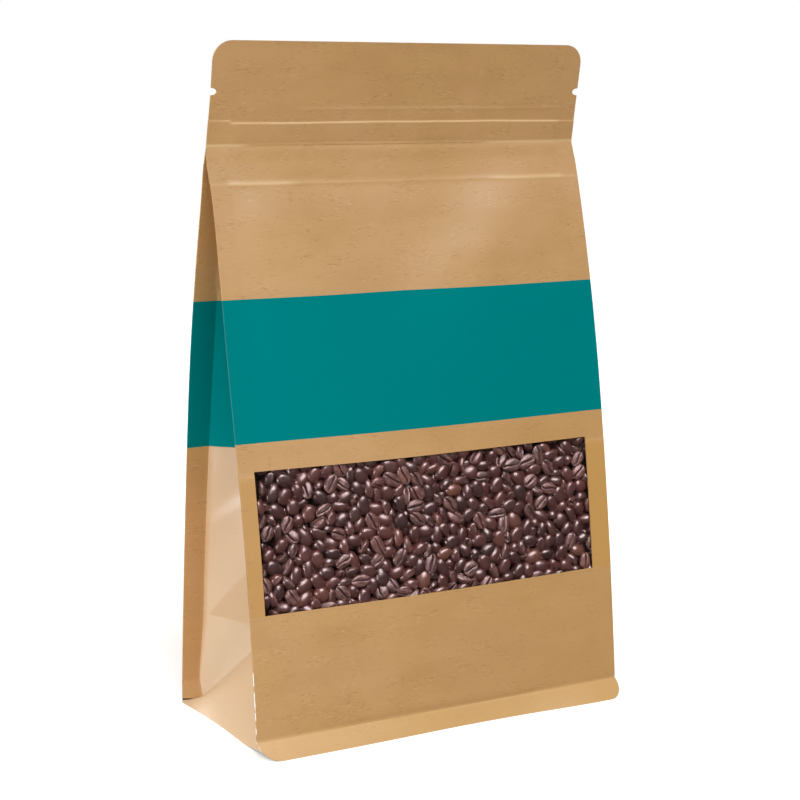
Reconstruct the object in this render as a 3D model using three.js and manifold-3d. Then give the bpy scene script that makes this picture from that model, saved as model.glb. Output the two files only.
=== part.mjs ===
// A stand-up zipper pouch of kraft-paper laminate, filled with roasted coffee beans and sealed shut.
//
// The pouch is the flat-bottomed kind that is sealed along eight sides. Its front and back panels stand
// far apart at the base and lean together up to a crease, above which they are sealed flat into a header
// that holds the press-to-close strip. Down each side runs a gusset that folds inwards, and ends in a flat
// triangle that spreads to the floor. The panels' edges stand out past the gussets as flat seal fins, and
// skirts of the same seal run round the base. A clear window in the front panel shows the beans.
//
// Millimetres, +Z up, the front faces -Y. The origin is on the floor, under the middle of the pouch.

import * as THREE from "three";
import { mergeVertices } from "three/addons/utils/BufferGeometryUtils.js";
import Module from "manifold-3d";

const wasm = await Module();
wasm.setup();

// ---- Driving dimensions ----

const PANEL_WIDTH = 160; // the front and back panels, over their seal fins
const SEAL_WIDTH = 7.4; // the flat seal down each side of a panel
const BASE_DEPTH = 79.6; // front to back where the panels meet the base skirts
const PLY = 1.0; // thickness of a seal fin
const SIDE_TAPER = 18.5; // of the panels' closing together, this much is straight and the rest curved
const PANEL_BULGE = 2.5; // how far the beans press each panel out in its middle

const CREASE_HEIGHT = 225.5; // where the panels meet and the header begins
const TOP_HEIGHT = 263.9; // the header's cut top edge
const TOP_CORNER_RADIUS = 7.3;
const HEADER_THICKNESS = 1.6; // two panels and two folded gussets, pressed flat
const HEADER_LEAN = 7.5; // how far forward the header's top edge is of its crease
const HEADER_INSET = 0.5; // the header's edges are this much inside the panels'
const NOTCH = { height: 245.5, depth: 2.2, width: 2.8 }; // the tear notches in the header's edges
const ZIPPER = { bottom: 226.3, top: 234.5, raise: 0.8, halfLength: 72, slope: 0.9 }; // press-to-close strip
const SOFT_CREASE = { height: 211.5, depth: 0.7, spread: 6 }; // across the panels, under the header

const SKIRT_HEIGHT = 7; // of the seal round the base, above the floor
const SKIRT_FLARE = 4.4; // how far a skirt's foot stands out past its panel
const SKIRT_HALF_LENGTH = 81.5;
const SKIRT_RADIUS = 7;

const APEX_HEIGHT = 34.6; // the top of the flat triangle that ends each gusset
const FOOT_X = 79.5; // the triangle's foot on the floor
const FOOT = { flatFront: -21, flatBack: 36, liftFront: 4.3, liftBack: 1.5 };
const FOOT_INSET = 0.03; // keeps the foot's faces clear of the triangle's own plane
const FOLD_RADIUS = 0.3;
const BASE = { halfLength: 74, halfDepth: 36.5, edgeInset: 0.8 }; // the flat face it stands on

const WINDOW = { halfWidth: 72, bottom: 53.8, top: 107 };
const FILM = { recess: 0.2, thickness: 0.5 };
const POCKET = { margin: 4, depth: 11, wall: 0.9, sideWall: 1.2 }; // the space behind the window
const GAP = 0.3; // kept between the pieces

const BEAN = { length: 8.2, width: 6.0, dome: 2.4, flat: 1.2 }; // flat is the creased side's half thickness
const BEAN_COUNT = 470;
const HEAP_DEPTH = 11; // the layer of beans that settles against the film
const CORE_FRONT = 3.1; // the heap's core begins this far behind the film
const SEEN_DEPTH = 3.6; // a bean whose middle is nearer the film than this shows
const SETTLE_STEPS = 160;
const SETTLE_PRESS = 0.04; // how far each step moves the beans towards the film
const SETTLE_GIVE = 0.3; // the part of an overlap that one step mends
const SETTLE_TURN = 0.027; // how readily a bean turns when it is pushed off its middle
const SEED = 7;

const HALF_WIDTH = PANEL_WIDTH / 2;
const INNER_SEAL = HALF_WIDTH - SEAL_WIDTH;
const HALF_BASE = BASE_DEPTH / 2;

const KRAFT = new THREE.MeshStandardMaterial({ color: 0xc69d69, roughness: 0.75, metalness: 0 });
const CLEAR = new THREE.MeshStandardMaterial({ roughness: 0.1, metalness: 0, transparent: true, opacity: 0.2 });
const ROAST = new THREE.MeshStandardMaterial({ color: 0x4d302a, roughness: 0.45, metalness: 0 });

// ---- Solids ----

function solid(geometry) {
  for (const name of Object.keys(geometry.attributes)) {
    if (name !== "position") geometry.deleteAttribute(name);
  }
  const merged = mergeVertices(geometry, 1e-4);
  return new wasm.Manifold(
    new wasm.Mesh({
      numProp: 3,
      vertProperties: new Float32Array(merged.attributes.position.array),
      triVerts: new Uint32Array(merged.index.array),
    }),
  );
}

function meshed(name, manifold, material) {
  const { vertProperties, triVerts } = manifold.getMesh();
  const geometry = new THREE.BufferGeometry();
  geometry.setAttribute("position", new THREE.BufferAttribute(vertProperties, 3));
  geometry.setIndex(new THREE.BufferAttribute(triVerts, 1));
  geometry.computeVertexNormals();
  const mesh = new THREE.Mesh(geometry, material);
  mesh.name = name;
  return mesh;
}

function fromFaces(points, faces) {
  const geometry = new THREE.BufferGeometry();
  geometry.setAttribute("position", new THREE.Float32BufferAttribute(points.flat(), 3));
  geometry.setIndex(faces.flat());
  return solid(geometry);
}

// A closed slab over a grid of x and z, between two surfaces that give y at each place.
function slab(xs, zs, near, far) {
  const points = [];
  const columns = xs.length;
  for (const surface of [near, far]) {
    for (const z of zs) {
      for (const x of xs) points.push([x, surface(x, z), z]);
    }
  }
  const faces = [];
  const half = columns * zs.length;
  const quad = (a, b, c, d) => faces.push([a, b, c], [a, c, d]);
  for (let i = 0; i + 1 < zs.length; i += 1) {
    for (let j = 0; j + 1 < columns; j += 1) {
      const a = i * columns + j;
      const up = a + columns;
      quad(a, a + 1, up + 1, up);
      quad(half + a + 1, half + a, half + up, half + up + 1);
    }
    const left = i * columns;
    const right = left + columns - 1;
    quad(half + left, left, left + columns, half + left + columns);
    quad(right, half + right, half + right + columns, right + columns);
  }
  const top = columns * (zs.length - 1);
  for (let j = 0; j + 1 < columns; j += 1) {
    quad(half + j, half + j + 1, j + 1, j);
    quad(top + j, top + j + 1, half + top + j + 1, half + top + j);
  }
  return fromFaces(points, faces);
}

// A closed skin through sections with the same number of points, each anticlockwise seen from above.
function loft(sections) {
  const count = sections[0].length;
  const points = sections.flat();
  const faces = [];
  for (let s = 0; s + 1 < sections.length; s += 1) {
    for (let i = 0; i < count; i += 1) {
      const a = s * count + i;
      const b = s * count + ((i + 1) % count);
      faces.push([a, b, b + count], [a, b + count, a + count]);
    }
  }
  const capOf = (section) =>
    THREE.ShapeUtils.triangulateShape(
      section.map(([x, y]) => new THREE.Vector2(x, y)),
      [],
    );
  const last = (sections.length - 1) * count;
  for (const [a, b, c] of capOf(sections[0])) faces.push([a, c, b]);
  for (const [a, b, c] of capOf(sections.at(-1))) faces.push([last + a, last + b, last + c]);
  return fromFaces(points, faces);
}

function rectangle(halfX, halfY, z) {
  return [
    [-halfX, -halfY, z],
    [halfX, -halfY, z],
    [halfX, halfY, z],
    [-halfX, halfY, z],
  ];
}

function aboveFloor(body) {
  const ground = [-20, 0].map((z) => rectangle(PANEL_WIDTH, PANEL_WIDTH, z));
  return body.subtract(loft(ground));
}

function steps(from, to, count) {
  return Array.from({ length: count + 1 }, (_, i) => from + ((to - from) * i) / count);
}

// ---- The panels ----

const clamp01 = (value) => Math.min(1, Math.max(0, value));
const riseOf = (z) => clamp01((z - SKIRT_HEIGHT) / (CREASE_HEIGHT - SKIRT_HEIGHT));

// Half of the pouch's depth at its side seals: a curve from the base's full depth to the pressed header.
function halfDepth(z) {
  const curved = HALF_BASE - HEADER_THICKNESS / 2 - SIDE_TAPER;
  return HALF_BASE - SIDE_TAPER * riseOf(z) - curved * riseOf(z) ** 2;
}

function lean(z) {
  return HEADER_LEAN * clamp01((z - CREASE_HEIGHT) / (TOP_HEIGHT - CREASE_HEIGHT));
}

function bulge(x, z) {
  const across = Math.max(0, 1 - (x / INNER_SEAL) ** 2);
  return PANEL_BULGE * across * Math.sin(Math.PI * riseOf(z)) ** 0.8;
}

function softCrease(x, z) {
  const near = Math.max(0, 1 - Math.abs(z - SOFT_CREASE.height) / SOFT_CREASE.spread);
  return Math.abs(x) > INNER_SEAL ? 0 : SOFT_CREASE.depth * near;
}

const outward = (x, z) => halfDepth(z) + bulge(x, z) - softCrease(x, z);
const frontY = (x, z) => -outward(x, z) - lean(z);
const backY = (x, z) => outward(x, z) - lean(z);

// ---- The side gussets ----

// A gusset is flat paper, so its two halves keep their width, and its valley fold deepens as the panels
// close together. Below the apex it spreads into a flat triangle that slopes out to the floor.
function valley(z) {
  return Math.sqrt(Math.max(0, HALF_BASE ** 2 - halfDepth(z) ** 2));
}

const APEX_X = INNER_SEAL - valley(APEX_HEIGHT);

function gussetSection(side, z) {
  const mouth = halfDepth(z) - PLY;
  const climb = z / APEX_HEIGHT;
  const foldX = climb < 1 ? FOOT_X + (APEX_X - FOOT_X) * climb : INNER_SEAL - valley(z);
  const foldY = Math.max(FOLD_RADIUS, (HALF_BASE - PLY) * (1 - climb));
  const beyond = HALF_WIDTH + 10;
  const middle = (INNER_SEAL + foldX) / 2;
  const section = [
    [beyond, -mouth],
    [beyond, mouth],
    [INNER_SEAL, mouth],
    [middle, (mouth + foldY) / 2],
    [foldX, foldY],
    [foldX, -foldY],
    [middle, -(mouth + foldY) / 2],
    [INNER_SEAL, -mouth],
  ].map(([x, y]) => [side * x, y, z]);
  return side > 0 ? section : section.reverse();
}

function gussetSpace(side) {
  const closing = CREASE_HEIGHT - 3.2; // above this the gusset's halves touch
  const levels = [
    SKIRT_HEIGHT - 0.5,
    ...steps(13, APEX_HEIGHT, 3),
    ...steps(43, 113, 7),
    ...steps(128, 212, 6),
    218.5,
    closing,
  ];
  return loft(levels.map((z) => gussetSection(side, z)));
}

// The triangle's foot, below the panels. Its front end lifts, where it joins the front skirt's round
// corner.
function gussetFoot(side) {
  const reach = HALF_BASE - PLY;
  const top = SKIRT_HEIGHT + 1.5;
  const shoulder = reach * (1 - top / APEX_HEIGHT);
  const corners = [
    [FOOT.flatFront, -1],
    [FOOT.flatBack, -1],
    [reach + 3, FOOT.liftBack],
    [reach + 0.3, SKIRT_HEIGHT],
    [shoulder, top],
    [-shoulder, top],
    [-reach - 0.3, SKIRT_HEIGHT],
    [-reach - 2, FOOT.liftFront],
  ];
  const shape = new THREE.Shape(corners.map(([y, z]) => new THREE.Vector2(y * side, z)));
  const geometry = new THREE.ExtrudeGeometry(shape, { depth: PLY, bevelEnabled: false });
  // The outline stands up along y, its outer face just inside the triangle's plane.
  geometry.rotateX(Math.PI / 2);
  geometry.rotateZ(Math.PI / 2);
  geometry.translate(-PLY - FOOT_INSET, 0, 0);
  geometry.rotateY(-Math.atan2(FOOT_X - APEX_X, APEX_HEIGHT));
  geometry.translate(FOOT_X, 0, 0);
  if (side < 0) geometry.rotateZ(Math.PI);
  return aboveFloor(solid(geometry));
}

// ---- The front and back skirts ----

function panelSkirt(side) {
  const fall = Math.hypot(SKIRT_HEIGHT, SKIRT_FLARE);
  const shape = new THREE.Shape();
  shape.moveTo(-HALF_WIDTH, 1);
  shape.lineTo(-SKIRT_HALF_LENGTH, -fall + SKIRT_RADIUS);
  shape.absarc(-SKIRT_HALF_LENGTH + SKIRT_RADIUS, -fall + SKIRT_RADIUS, SKIRT_RADIUS, Math.PI, 1.5 * Math.PI);
  shape.absarc(SKIRT_HALF_LENGTH - SKIRT_RADIUS, -fall + SKIRT_RADIUS, SKIRT_RADIUS, -0.5 * Math.PI, 0);
  shape.lineTo(HALF_WIDTH, 1);
  const geometry = new THREE.ExtrudeGeometry(shape, { depth: PLY, bevelEnabled: false, curveSegments: 7 });
  const tilt = Math.atan2(SKIRT_FLARE, SKIRT_HEIGHT);
  geometry.rotateX(Math.PI / 2 - tilt);
  geometry.translate(0, -HALF_BASE + PLY * Math.cos(tilt), SKIRT_HEIGHT);
  if (side > 0) geometry.rotateZ(Math.PI);
  return aboveFloor(solid(geometry));
}

// ---- The header ----

// The pouch's outline from the front. Below the crease it is wider than the panels and cuts nothing.
function outline() {
  const edge = HALF_WIDTH - HEADER_INSET;
  const clear = HALF_WIDTH + 3;
  const start = CREASE_HEIGHT - 4;
  const radius = TOP_CORNER_RADIUS;
  const notch = [
    [0, -0.5],
    [0.62, -0.4],
    [1, 0],
    [0.62, 0.4],
    [0, 0.5],
  ].map(([inwards, up]) => [edge - inwards * NOTCH.depth, NOTCH.height + up * NOTCH.width]);
  const sides = [[clear, -5], [clear, start], [edge, start], ...notch].map(([x, y]) => new THREE.Vector2(x, y));
  const corner = new THREE.Path().absarc(edge - radius, TOP_HEIGHT - radius, radius, 0, Math.PI / 2);
  const right = [...sides, ...corner.getPoints(4)];
  const left = right.map(({ x, y }) => new THREE.Vector2(-x, y)).reverse();
  const geometry = new THREE.ExtrudeGeometry(new THREE.Shape([...right, ...left]), {
    depth: PANEL_WIDTH,
    bevelEnabled: false,
  });
  geometry.rotateX(Math.PI / 2);
  geometry.translate(0, HALF_WIDTH, 0);
  return solid(geometry);
}

// The press-to-close strip's raised band: its edges slope, and it stands out on both faces.
function zipperBand() {
  const { bottom, top, raise, halfLength, slope } = ZIPPER;
  const sunk = 0.3;
  const half = (z) => (z < bottom || z > top ? sunk : HEADER_THICKNESS / 2 + raise);
  return slab(
    [-halfLength, halfLength],
    [bottom - slope, bottom, top, top + slope],
    (x, z) => -lean(z) - half(z),
    (x, z) => -lean(z) + half(z),
  );
}

// ---- The window ----

// A slab of the window's size less a margin, between two depths below the front panel's surface.
function windowSlab(margin, from, to) {
  return slab(
    steps(-WINDOW.halfWidth + margin, WINDOW.halfWidth - margin, 10),
    steps(WINDOW.bottom + margin, WINDOW.top - margin, 3),
    (x, z) => frontY(x, z) + from,
    (x, z) => frontY(x, z) + to,
  );
}

function windowFilm() {
  return windowSlab(GAP, FILM.recess, FILM.recess + FILM.thickness);
}

// The space behind the window, from a depth below the panel's surface. The gussets' folded paper bounds
// its sides, so it narrows inwards.
function pocket(inset, depth) {
  const far = POCKET.depth - inset;
  const section = (z) => {
    const slope = valley(z) / (halfDepth(z) - PLY - FOLD_RADIUS);
    const sideAt = (inwards) => INNER_SEAL - POCKET.sideWall - inset - slope * Math.max(0, inwards - PLY);
    const near = steps(-sideAt(depth), sideAt(depth), 10).map((x) => [x, frontY(x, z) + depth, z]);
    return [...near, [sideAt(far), far - halfDepth(z), z], [-sideAt(far), far - halfDepth(z), z]];
  };
  const margin = POCKET.margin - inset;
  return loft(steps(WINDOW.bottom - margin, WINDOW.top + margin, 5).map(section));
}

// ---- The pouch ----

function panels() {
  const across = [-HALF_WIDTH, -INNER_SEAL, ...steps(-60, 60, 8), INNER_SEAL, HALF_WIDTH];
  const { height, spread } = SOFT_CREASE;
  const up = [...steps(SKIRT_HEIGHT, height - spread, 16), height, height + spread, CREASE_HEIGHT, TOP_HEIGHT];
  return slab(across, up, frontY, backY).intersect(outline());
}

function base() {
  return loft([
    rectangle(BASE.halfLength, BASE.halfDepth, 0),
    rectangle(INNER_SEAL, HALF_BASE - BASE.edgeInset, SKIRT_HEIGHT + 0.5),
  ]);
}

function pouch() {
  let body = panels();
  for (const side of [-1, 1]) {
    body = body.subtract(gussetSpace(side)).add(gussetFoot(side)).add(panelSkirt(side));
  }
  return body
    .add(base())
    .add(zipperBand())
    .subtract(windowSlab(0, -5, POCKET.wall + 0.1))
    .subtract(pocket(0, POCKET.wall));
}

// ---- The beans ----

// A seeded draw of numbers from 0 to 1.
function draw(seed) {
  let state = seed;
  return () => {
    state = (state * 16807) % 2147483647;
    return state / 2147483647;
  };
}

// A bean in its own frame is long along x, wide along y, domed towards +z and creased towards -z.
// For settling, it counts as five balls, each a place and a radius.
const BALLS = [
  [0, 0, 0.35, 2.0],
  [2.1, 0, 0.25, 1.85],
  [-2.1, 0, 0.25, 1.85],
  [0, 1.15, 0.25, 1.85],
  [0, -1.15, 0.25, 1.85],
];

// The beans' space: x across, y in from the film, z up from the window's middle.
const ROOM_X = INNER_SEAL - POCKET.sideWall - GAP;
const ROOM_Z = (WINDOW.top - WINDOW.bottom) / 2 + POCKET.margin - GAP;
const ROOM_NARROWING = 0.8; // across, for each millimetre inwards

// Beans thrown loosely into their space. Most turn the domed or the creased face to the film.
function thrownBeans() {
  const random = draw(SEED);
  const wobble = () => random() + random() + random() - 1.5;
  return Array.from({ length: BEAN_COUNT }, () => {
    const at = new THREE.Vector3(
      (random() * 2 - 1) * (ROOM_X - 3),
      2 + random() * (HEAP_DEPTH - 2),
      (random() * 2 - 1) * (ROOM_Z - 3),
    );
    const face = random() < 0.55 ? Math.PI / 2 : -Math.PI / 2;
    const tipped = new THREE.Euler(face + wobble() * 0.9, wobble() * 1.1, 0);
    const turn = new THREE.Quaternion()
      .setFromAxisAngle(new THREE.Vector3(0, 1, 0), random() * Math.PI)
      .multiply(new THREE.Quaternion().setFromEuler(tipped));
    return { at, turn };
  });
}

// Moves a bean by part of a push on one of its balls, and turns it as the push would.
function nudge({ bean, lever }, push) {
  bean.at.addScaledVector(push, SETTLE_GIVE);
  const axis = new THREE.Vector3().crossVectors(lever, push).multiplyScalar(SETTLE_TURN);
  const angle = axis.length();
  if (angle < 1e-6) return;
  const twist = new THREE.Quaternion().setFromAxisAngle(axis.divideScalar(angle), Math.min(angle, 0.2));
  bean.turn.premultiply(twist);
}

function ballsOf(beans) {
  return beans.flatMap((bean) =>
    BALLS.map(([x, y, z, radius]) => {
      const lever = new THREE.Vector3(x, y, z).applyQuaternion(bean.turn);
      return { bean, lever, radius, centre: lever.clone().add(bean.at) };
    }),
  );
}

// Pushes apart the balls that overlap. A grid of cells finds each ball's neighbours.
function separate(balls) {
  const size = 5;
  const name = (i, j, k) => (i + 64) * 16384 + (j + 64) * 128 + (k + 64);
  const cellOf = ({ centre }) => centre.toArray().map((value) => Math.floor(value / size));
  const cells = new Map();
  for (const ball of balls) {
    const cell = name(...cellOf(ball));
    if (!cells.has(cell)) cells.set(cell, []);
    cells.get(cell).push(ball);
  }
  const around = [-1, 0, 1].flatMap((i) => [-1, 0, 1].flatMap((j) => [-1, 0, 1].map((k) => [i, j, k])));
  const push = new THREE.Vector3();
  for (const ball of balls) {
    const [i, j, k] = cellOf(ball);
    for (const [di, dj, dk] of around) {
      for (const other of cells.get(name(i + di, j + dj, k + dk)) ?? []) {
        if (other.bean === ball.bean) continue;
        push.subVectors(ball.centre, other.centre);
        const distance = push.length();
        const overlap = ball.radius + other.radius - distance;
        if (overlap > 0 && distance > 1e-6) nudge(ball, push.multiplyScalar(overlap / distance));
      }
    }
  }
}

function contain(balls) {
  for (const ball of balls) {
    const { x, y, z } = ball.centre;
    const reach = ROOM_X - ROOM_NARROWING * Math.max(0, y);
    const into = (value, low, high) =>
      Math.max(0, low + ball.radius - value) - Math.max(0, value + ball.radius - high);
    const push = new THREE.Vector3(
      into(x, -reach, reach),
      into(y, 0.15, HEAP_DEPTH + 3),
      into(z, -ROOM_Z, ROOM_Z),
    );
    if (push.length() > 0) nudge(ball, push);
  }
}

// The beans press towards the film and push each other apart until they lie packed against it.
function settledBeans() {
  const beans = thrownBeans();
  for (let step = 0; step < SETTLE_STEPS; step += 1) {
    for (const bean of beans) bean.at.y -= SETTLE_PRESS;
    const balls = ballsOf(beans);
    separate(balls);
    contain(balls);
  }
  return beans;
}

function beanShape() {
  const geometry = new THREE.SphereGeometry(0.5, 6, 3);
  geometry.rotateZ(Math.PI / 2);
  geometry.scale(BEAN.length, BEAN.width, 2);
  const position = geometry.getAttribute("position");
  for (let i = 0; i < position.count; i += 1) {
    const z = position.getZ(i);
    position.setZ(i, z * (z > 0 ? BEAN.dome : BEAN.flat));
  }
  return geometry;
}

// The layer of beans that shows, fused to a plain core that stands for the beans behind them.
function beanHeap() {
  const nearest = POCKET.wall + GAP;
  const middle = (WINDOW.bottom + WINDOW.top) / 2;
  const slope = (frontY(0, WINDOW.top) - frontY(0, WINDOW.bottom)) / (WINDOW.top - WINDOW.bottom);
  const leanBack = new THREE.Quaternion().setFromAxisAngle(new THREE.Vector3(1, 0, 0), -Math.atan(slope));
  const life = new THREE.Vector3(1, 1, 1);
  const pieces = [];
  for (const { at, turn } of settledBeans()) {
    if (at.y > SEEN_DEPTH) continue;
    const z = middle + at.z;
    const place = new THREE.Vector3(at.x, frontY(at.x, z) + nearest + at.y, z);
    const matrix = new THREE.Matrix4().compose(place, leanBack.clone().multiply(turn), life);
    pieces.push(solid(beanShape().applyMatrix4(matrix)));
  }
  const core = pocket(GAP, nearest + CORE_FRONT);
  const heap = wasm.Manifold.union([core, ...pieces]).intersect(pocket(GAP, nearest));
  // Loose scraps that touch nothing are dropped.
  return heap.decompose().reduce((most, body) => (body.volume() > most.volume() ? body : most));
}

// ---- The object ----

const object = new THREE.Group();
object.add(
  meshed("pouch", pouch(), KRAFT),
  meshed("window_film", windowFilm(), CLEAR),
  meshed("beans", beanHeap(), ROAST),
);

export default object;
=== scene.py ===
# %% [markdown]
# # A kraft-paper coffee pouch, dressed for its portrait
#
# The real pouch is made of thin laminate: two big panels, two folded gussets and a base, heat-sealed
# along their edges, with a zipper pressed into the header. The solid model of it is one block, good
# for weight and collision. Here each sheet is made again as paper, and the window gets real beans.
# Lengths are in millimetres until a mesh is made, because that is how a bag maker measures.

# %% Load the frame
import math

import bmesh
import bpy
import numpy as np
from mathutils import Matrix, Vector


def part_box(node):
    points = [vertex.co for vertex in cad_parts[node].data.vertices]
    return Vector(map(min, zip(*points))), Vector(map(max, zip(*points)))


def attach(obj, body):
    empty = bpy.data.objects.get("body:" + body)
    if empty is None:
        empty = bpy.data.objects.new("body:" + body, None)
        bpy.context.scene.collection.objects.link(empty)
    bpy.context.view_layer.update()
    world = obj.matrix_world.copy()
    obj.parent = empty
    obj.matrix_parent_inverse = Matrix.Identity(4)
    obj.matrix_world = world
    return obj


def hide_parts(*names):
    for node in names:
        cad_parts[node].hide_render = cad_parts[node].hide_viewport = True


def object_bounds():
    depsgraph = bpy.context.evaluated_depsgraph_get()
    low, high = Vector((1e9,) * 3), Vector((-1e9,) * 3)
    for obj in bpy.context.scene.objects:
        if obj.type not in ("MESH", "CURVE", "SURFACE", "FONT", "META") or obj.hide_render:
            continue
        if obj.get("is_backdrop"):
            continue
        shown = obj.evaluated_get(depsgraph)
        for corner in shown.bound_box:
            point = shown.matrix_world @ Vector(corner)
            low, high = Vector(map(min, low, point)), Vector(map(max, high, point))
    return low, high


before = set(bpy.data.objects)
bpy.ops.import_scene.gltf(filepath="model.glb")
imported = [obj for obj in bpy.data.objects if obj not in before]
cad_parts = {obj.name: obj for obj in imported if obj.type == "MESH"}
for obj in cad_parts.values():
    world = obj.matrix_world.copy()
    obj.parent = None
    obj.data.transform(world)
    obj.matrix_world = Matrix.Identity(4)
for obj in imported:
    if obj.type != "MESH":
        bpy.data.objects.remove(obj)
CAD_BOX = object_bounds()
MM = 0.001
print("nodes:", sorted(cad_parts), "box:", [tuple(round(v, 4) for v in corner) for corner in CAD_BOX])

# %% [markdown]
# ## The camera
#
# The pouch is seen from its left, a little from above, with a long lens that keeps its sides
# almost parallel. A camera needs a place, a direction and a focal length. The direction is written
# as a compass turn and a dip, which are easier to think about than three Euler angles.

# %% Make the camera
CAMERA_PLACE = Vector((-0.3137, -0.6038, 0.2445))
CAMERA_TURN = 27.49  # degrees clockwise from looking straight at the front panel
CAMERA_DIP = 10.06  # degrees below the horizon
CAMERA_LENS = 77.54

camera_data = bpy.data.cameras.new("portrait_camera")
camera_data.sensor_width = 36
camera_data.lens = CAMERA_LENS
camera = bpy.data.objects.new("portrait_camera", camera_data)
camera.location = CAMERA_PLACE
camera.rotation_euler = (math.radians(90 - CAMERA_DIP), 0, math.radians(-CAMERA_TURN))
bpy.context.collection.objects.link(camera)
bpy.context.scene.camera = camera
print("camera", round(CAMERA_PLACE.length, 3), "m from the origin")

# %% [markdown]
# ## The proportions
#
# All sheets share one set of sizes, so that they meet along the same seams. The widths and the
# base come from the frame, and the heights of the seams and folds were read off the pouch.

# %% Name the sizes
low, high = (np.array(corner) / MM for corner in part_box("pouch"))
TOP = high[2]
HALF_WIDTH = 80.0
INNER_SEAL = 72.6  # the fins outside this are flat, sealed paper
HALF_BASE = 39.8
SEAM = 7.0  # height of the line where the panels meet the base seal
FLARE = {"front": 4.4, "back": 2.2}  # the base seals spread out by this much on their way down
TUCK = {"front": 0.0, "back": 7.4}  # and their ends are drawn back in by this much
CLOSING = 18.5  # how far each panel would come in, if it went on as steeply as at the base
BULGE = 2.3  # how far the beans press the panels' middle out
CREASE = 225.5  # the panels meet here and the header starts
CREASED = 211.6  # and a softer crease runs below
HEADER_LEAN = 7.5
HEADER_HALF = 0.5  # half of the header's thickness
PAPER = 0.38
BAND = (117.4, 169.8)  # the printed band on the front panel
SIDE_BAND = (107.0, 166.4)  # and on the gussets' back halves and the back panel
WINDOW_X = (-74.0, 71.2)
WINDOW_Z = (53.8, 107.0)
STRIP_Z = (53.3, 105.2)  # the clear strip's edges, which show as thin lines in the paper
print("top of the header", round(TOP, 1), "mm, width of the box", round(high[0] - low[0], 1), "mm")

# %% [markdown]
# ## The pouch's profile
#
# Seen from the side, the two panels start at the full depth of the base and close in a gentle
# curve to the crease. One quadratic says how far apart they are at each height, and a
# soft bulge says how the beans press them out in the middle. NumPy works on whole grids at once,
# so each of these short functions takes arrays of x and z.

# %% Shape the profile
def smooth(low_value, high_value, value):
    """A soft step from 0 to 1 between two values, in either order."""
    t = np.clip((value - low_value) / (high_value - low_value), 0, 1)
    return t * t * (3 - 2 * t)


def bump(distance, width):
    """A rounded ridge, 1 at its middle."""
    return np.exp(-((distance / width) ** 2))


def rise(z):
    return np.clip((z - SEAM) / (CREASE - SEAM), 0, 1)


def knotted(z, knots):
    """A line through a few (height, value) knots, with its corners rounded."""
    near = np.asarray(z)[..., None] + np.linspace(-2.5, 2.5, 9)
    return np.interp(near, *zip(*knots)).mean(axis=-1)


# Height and size of small corrections: to both panels, and to the middle of the front one.
SHOULDER = ((120, 0), (150, 0.1), (184, 0.5), (198, 0.6), (CREASED, 0.5), (224, 0))
FULLNESS = ((112, 0), (150, 0.7), (184, 1.2), (200, 0.4), (CREASED, -0.8), (224, 0))


def half_depth(z):
    r = rise(z)
    return HALF_BASE - CLOSING * r - (HALF_BASE - HEADER_HALF - CLOSING) * r * r + knotted(z, SHOULDER)


def lean(z):
    return HEADER_LEAN * np.clip((z - CREASE) / (TOP - CREASE), 0, 1)


def bulge(x, z):
    across = np.clip(1 - (x / INNER_SEAL) ** 2, 0, 1)
    return BULGE * across**1.4 * np.sin(math.pi * rise(z)) ** 0.8


def flare(x, z, side):
    spread = FLARE[side] - TUCK[side] * smooth(50, 74, np.abs(x))
    fullness = 0
    if side == "front":
        fullness = knotted(z, FULLNESS) * smooth(80, 54, -x) * smooth(81, 64, x)
        spread = spread + 1.2 * smooth(30, 72, x) - 1.0 * bump(x - 8, 32)
    return spread * np.clip((SEAM - z) / SEAM, 0, 1) + fullness


for level in (7, 60, 120, 180, 225):
    print("depth at", level, "mm:", round(2 * float(half_depth(np.float64(level))), 1))

# %% [markdown]
# ## Paper from a grid
#
# Every sheet is a grid of points on its outer face. The helper below gives the grid a thickness:
# it copies the points inwards along their normals and closes the rim with a band of faces. A
# Solidify modifier would do this too, but by hand the rim can get its own material, as
# the cut edge of kraft laminate is paler than its face. Where two faces meet at a clear angle, the
# edge is marked sharp, so folds stay crisp and the rest shades smoothly.

# %% Make the sheet helper
OUTSIDE, CUT, INSIDE, PRINTED = 0, 1, 2, 3  # the material slots of every sheet


def grid_normals(points):
    across = np.gradient(points, axis=1)
    up = np.gradient(points, axis=0)
    normal = np.cross(across, up)
    return normal / np.maximum(np.linalg.norm(normal, axis=2, keepdims=True), 1e-9)


def add_mesh(name, vertices, faces):
    mesh = bpy.data.meshes.new(name)
    mesh.from_pydata((np.asarray(vertices) * MM).tolist(), [], faces)
    mesh.validate()
    piece = bpy.data.objects.new(name, mesh)
    bpy.context.collection.objects.link(piece)
    return piece


def shade(piece, angle):
    """Drops unused points, and shades smoothly but for edges sharper than an angle in degrees."""
    bm = bmesh.new()
    bm.from_mesh(piece.data)
    bmesh.ops.delete(bm, geom=[v for v in bm.verts if not v.link_faces], context="VERTS")
    for face in bm.faces:
        face.smooth = True
    for edge in bm.edges:
        if len(edge.link_faces) == 2 and edge.calc_face_angle() > math.radians(angle):
            edge.smooth = False
    bm.to_mesh(piece.data)
    bm.free()


def paint(piece, name, values):
    """Stores a number or a vector for each vertex, for a material to read."""
    values = np.asarray(values, dtype=np.float32)
    kind, field = ("FLOAT", "value") if values.ndim == 1 else ("FLOAT_VECTOR", "vector")
    attribute = piece.data.attributes.new(name, kind, "POINT")
    attribute.data.foreach_set(field, values.ravel())


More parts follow.
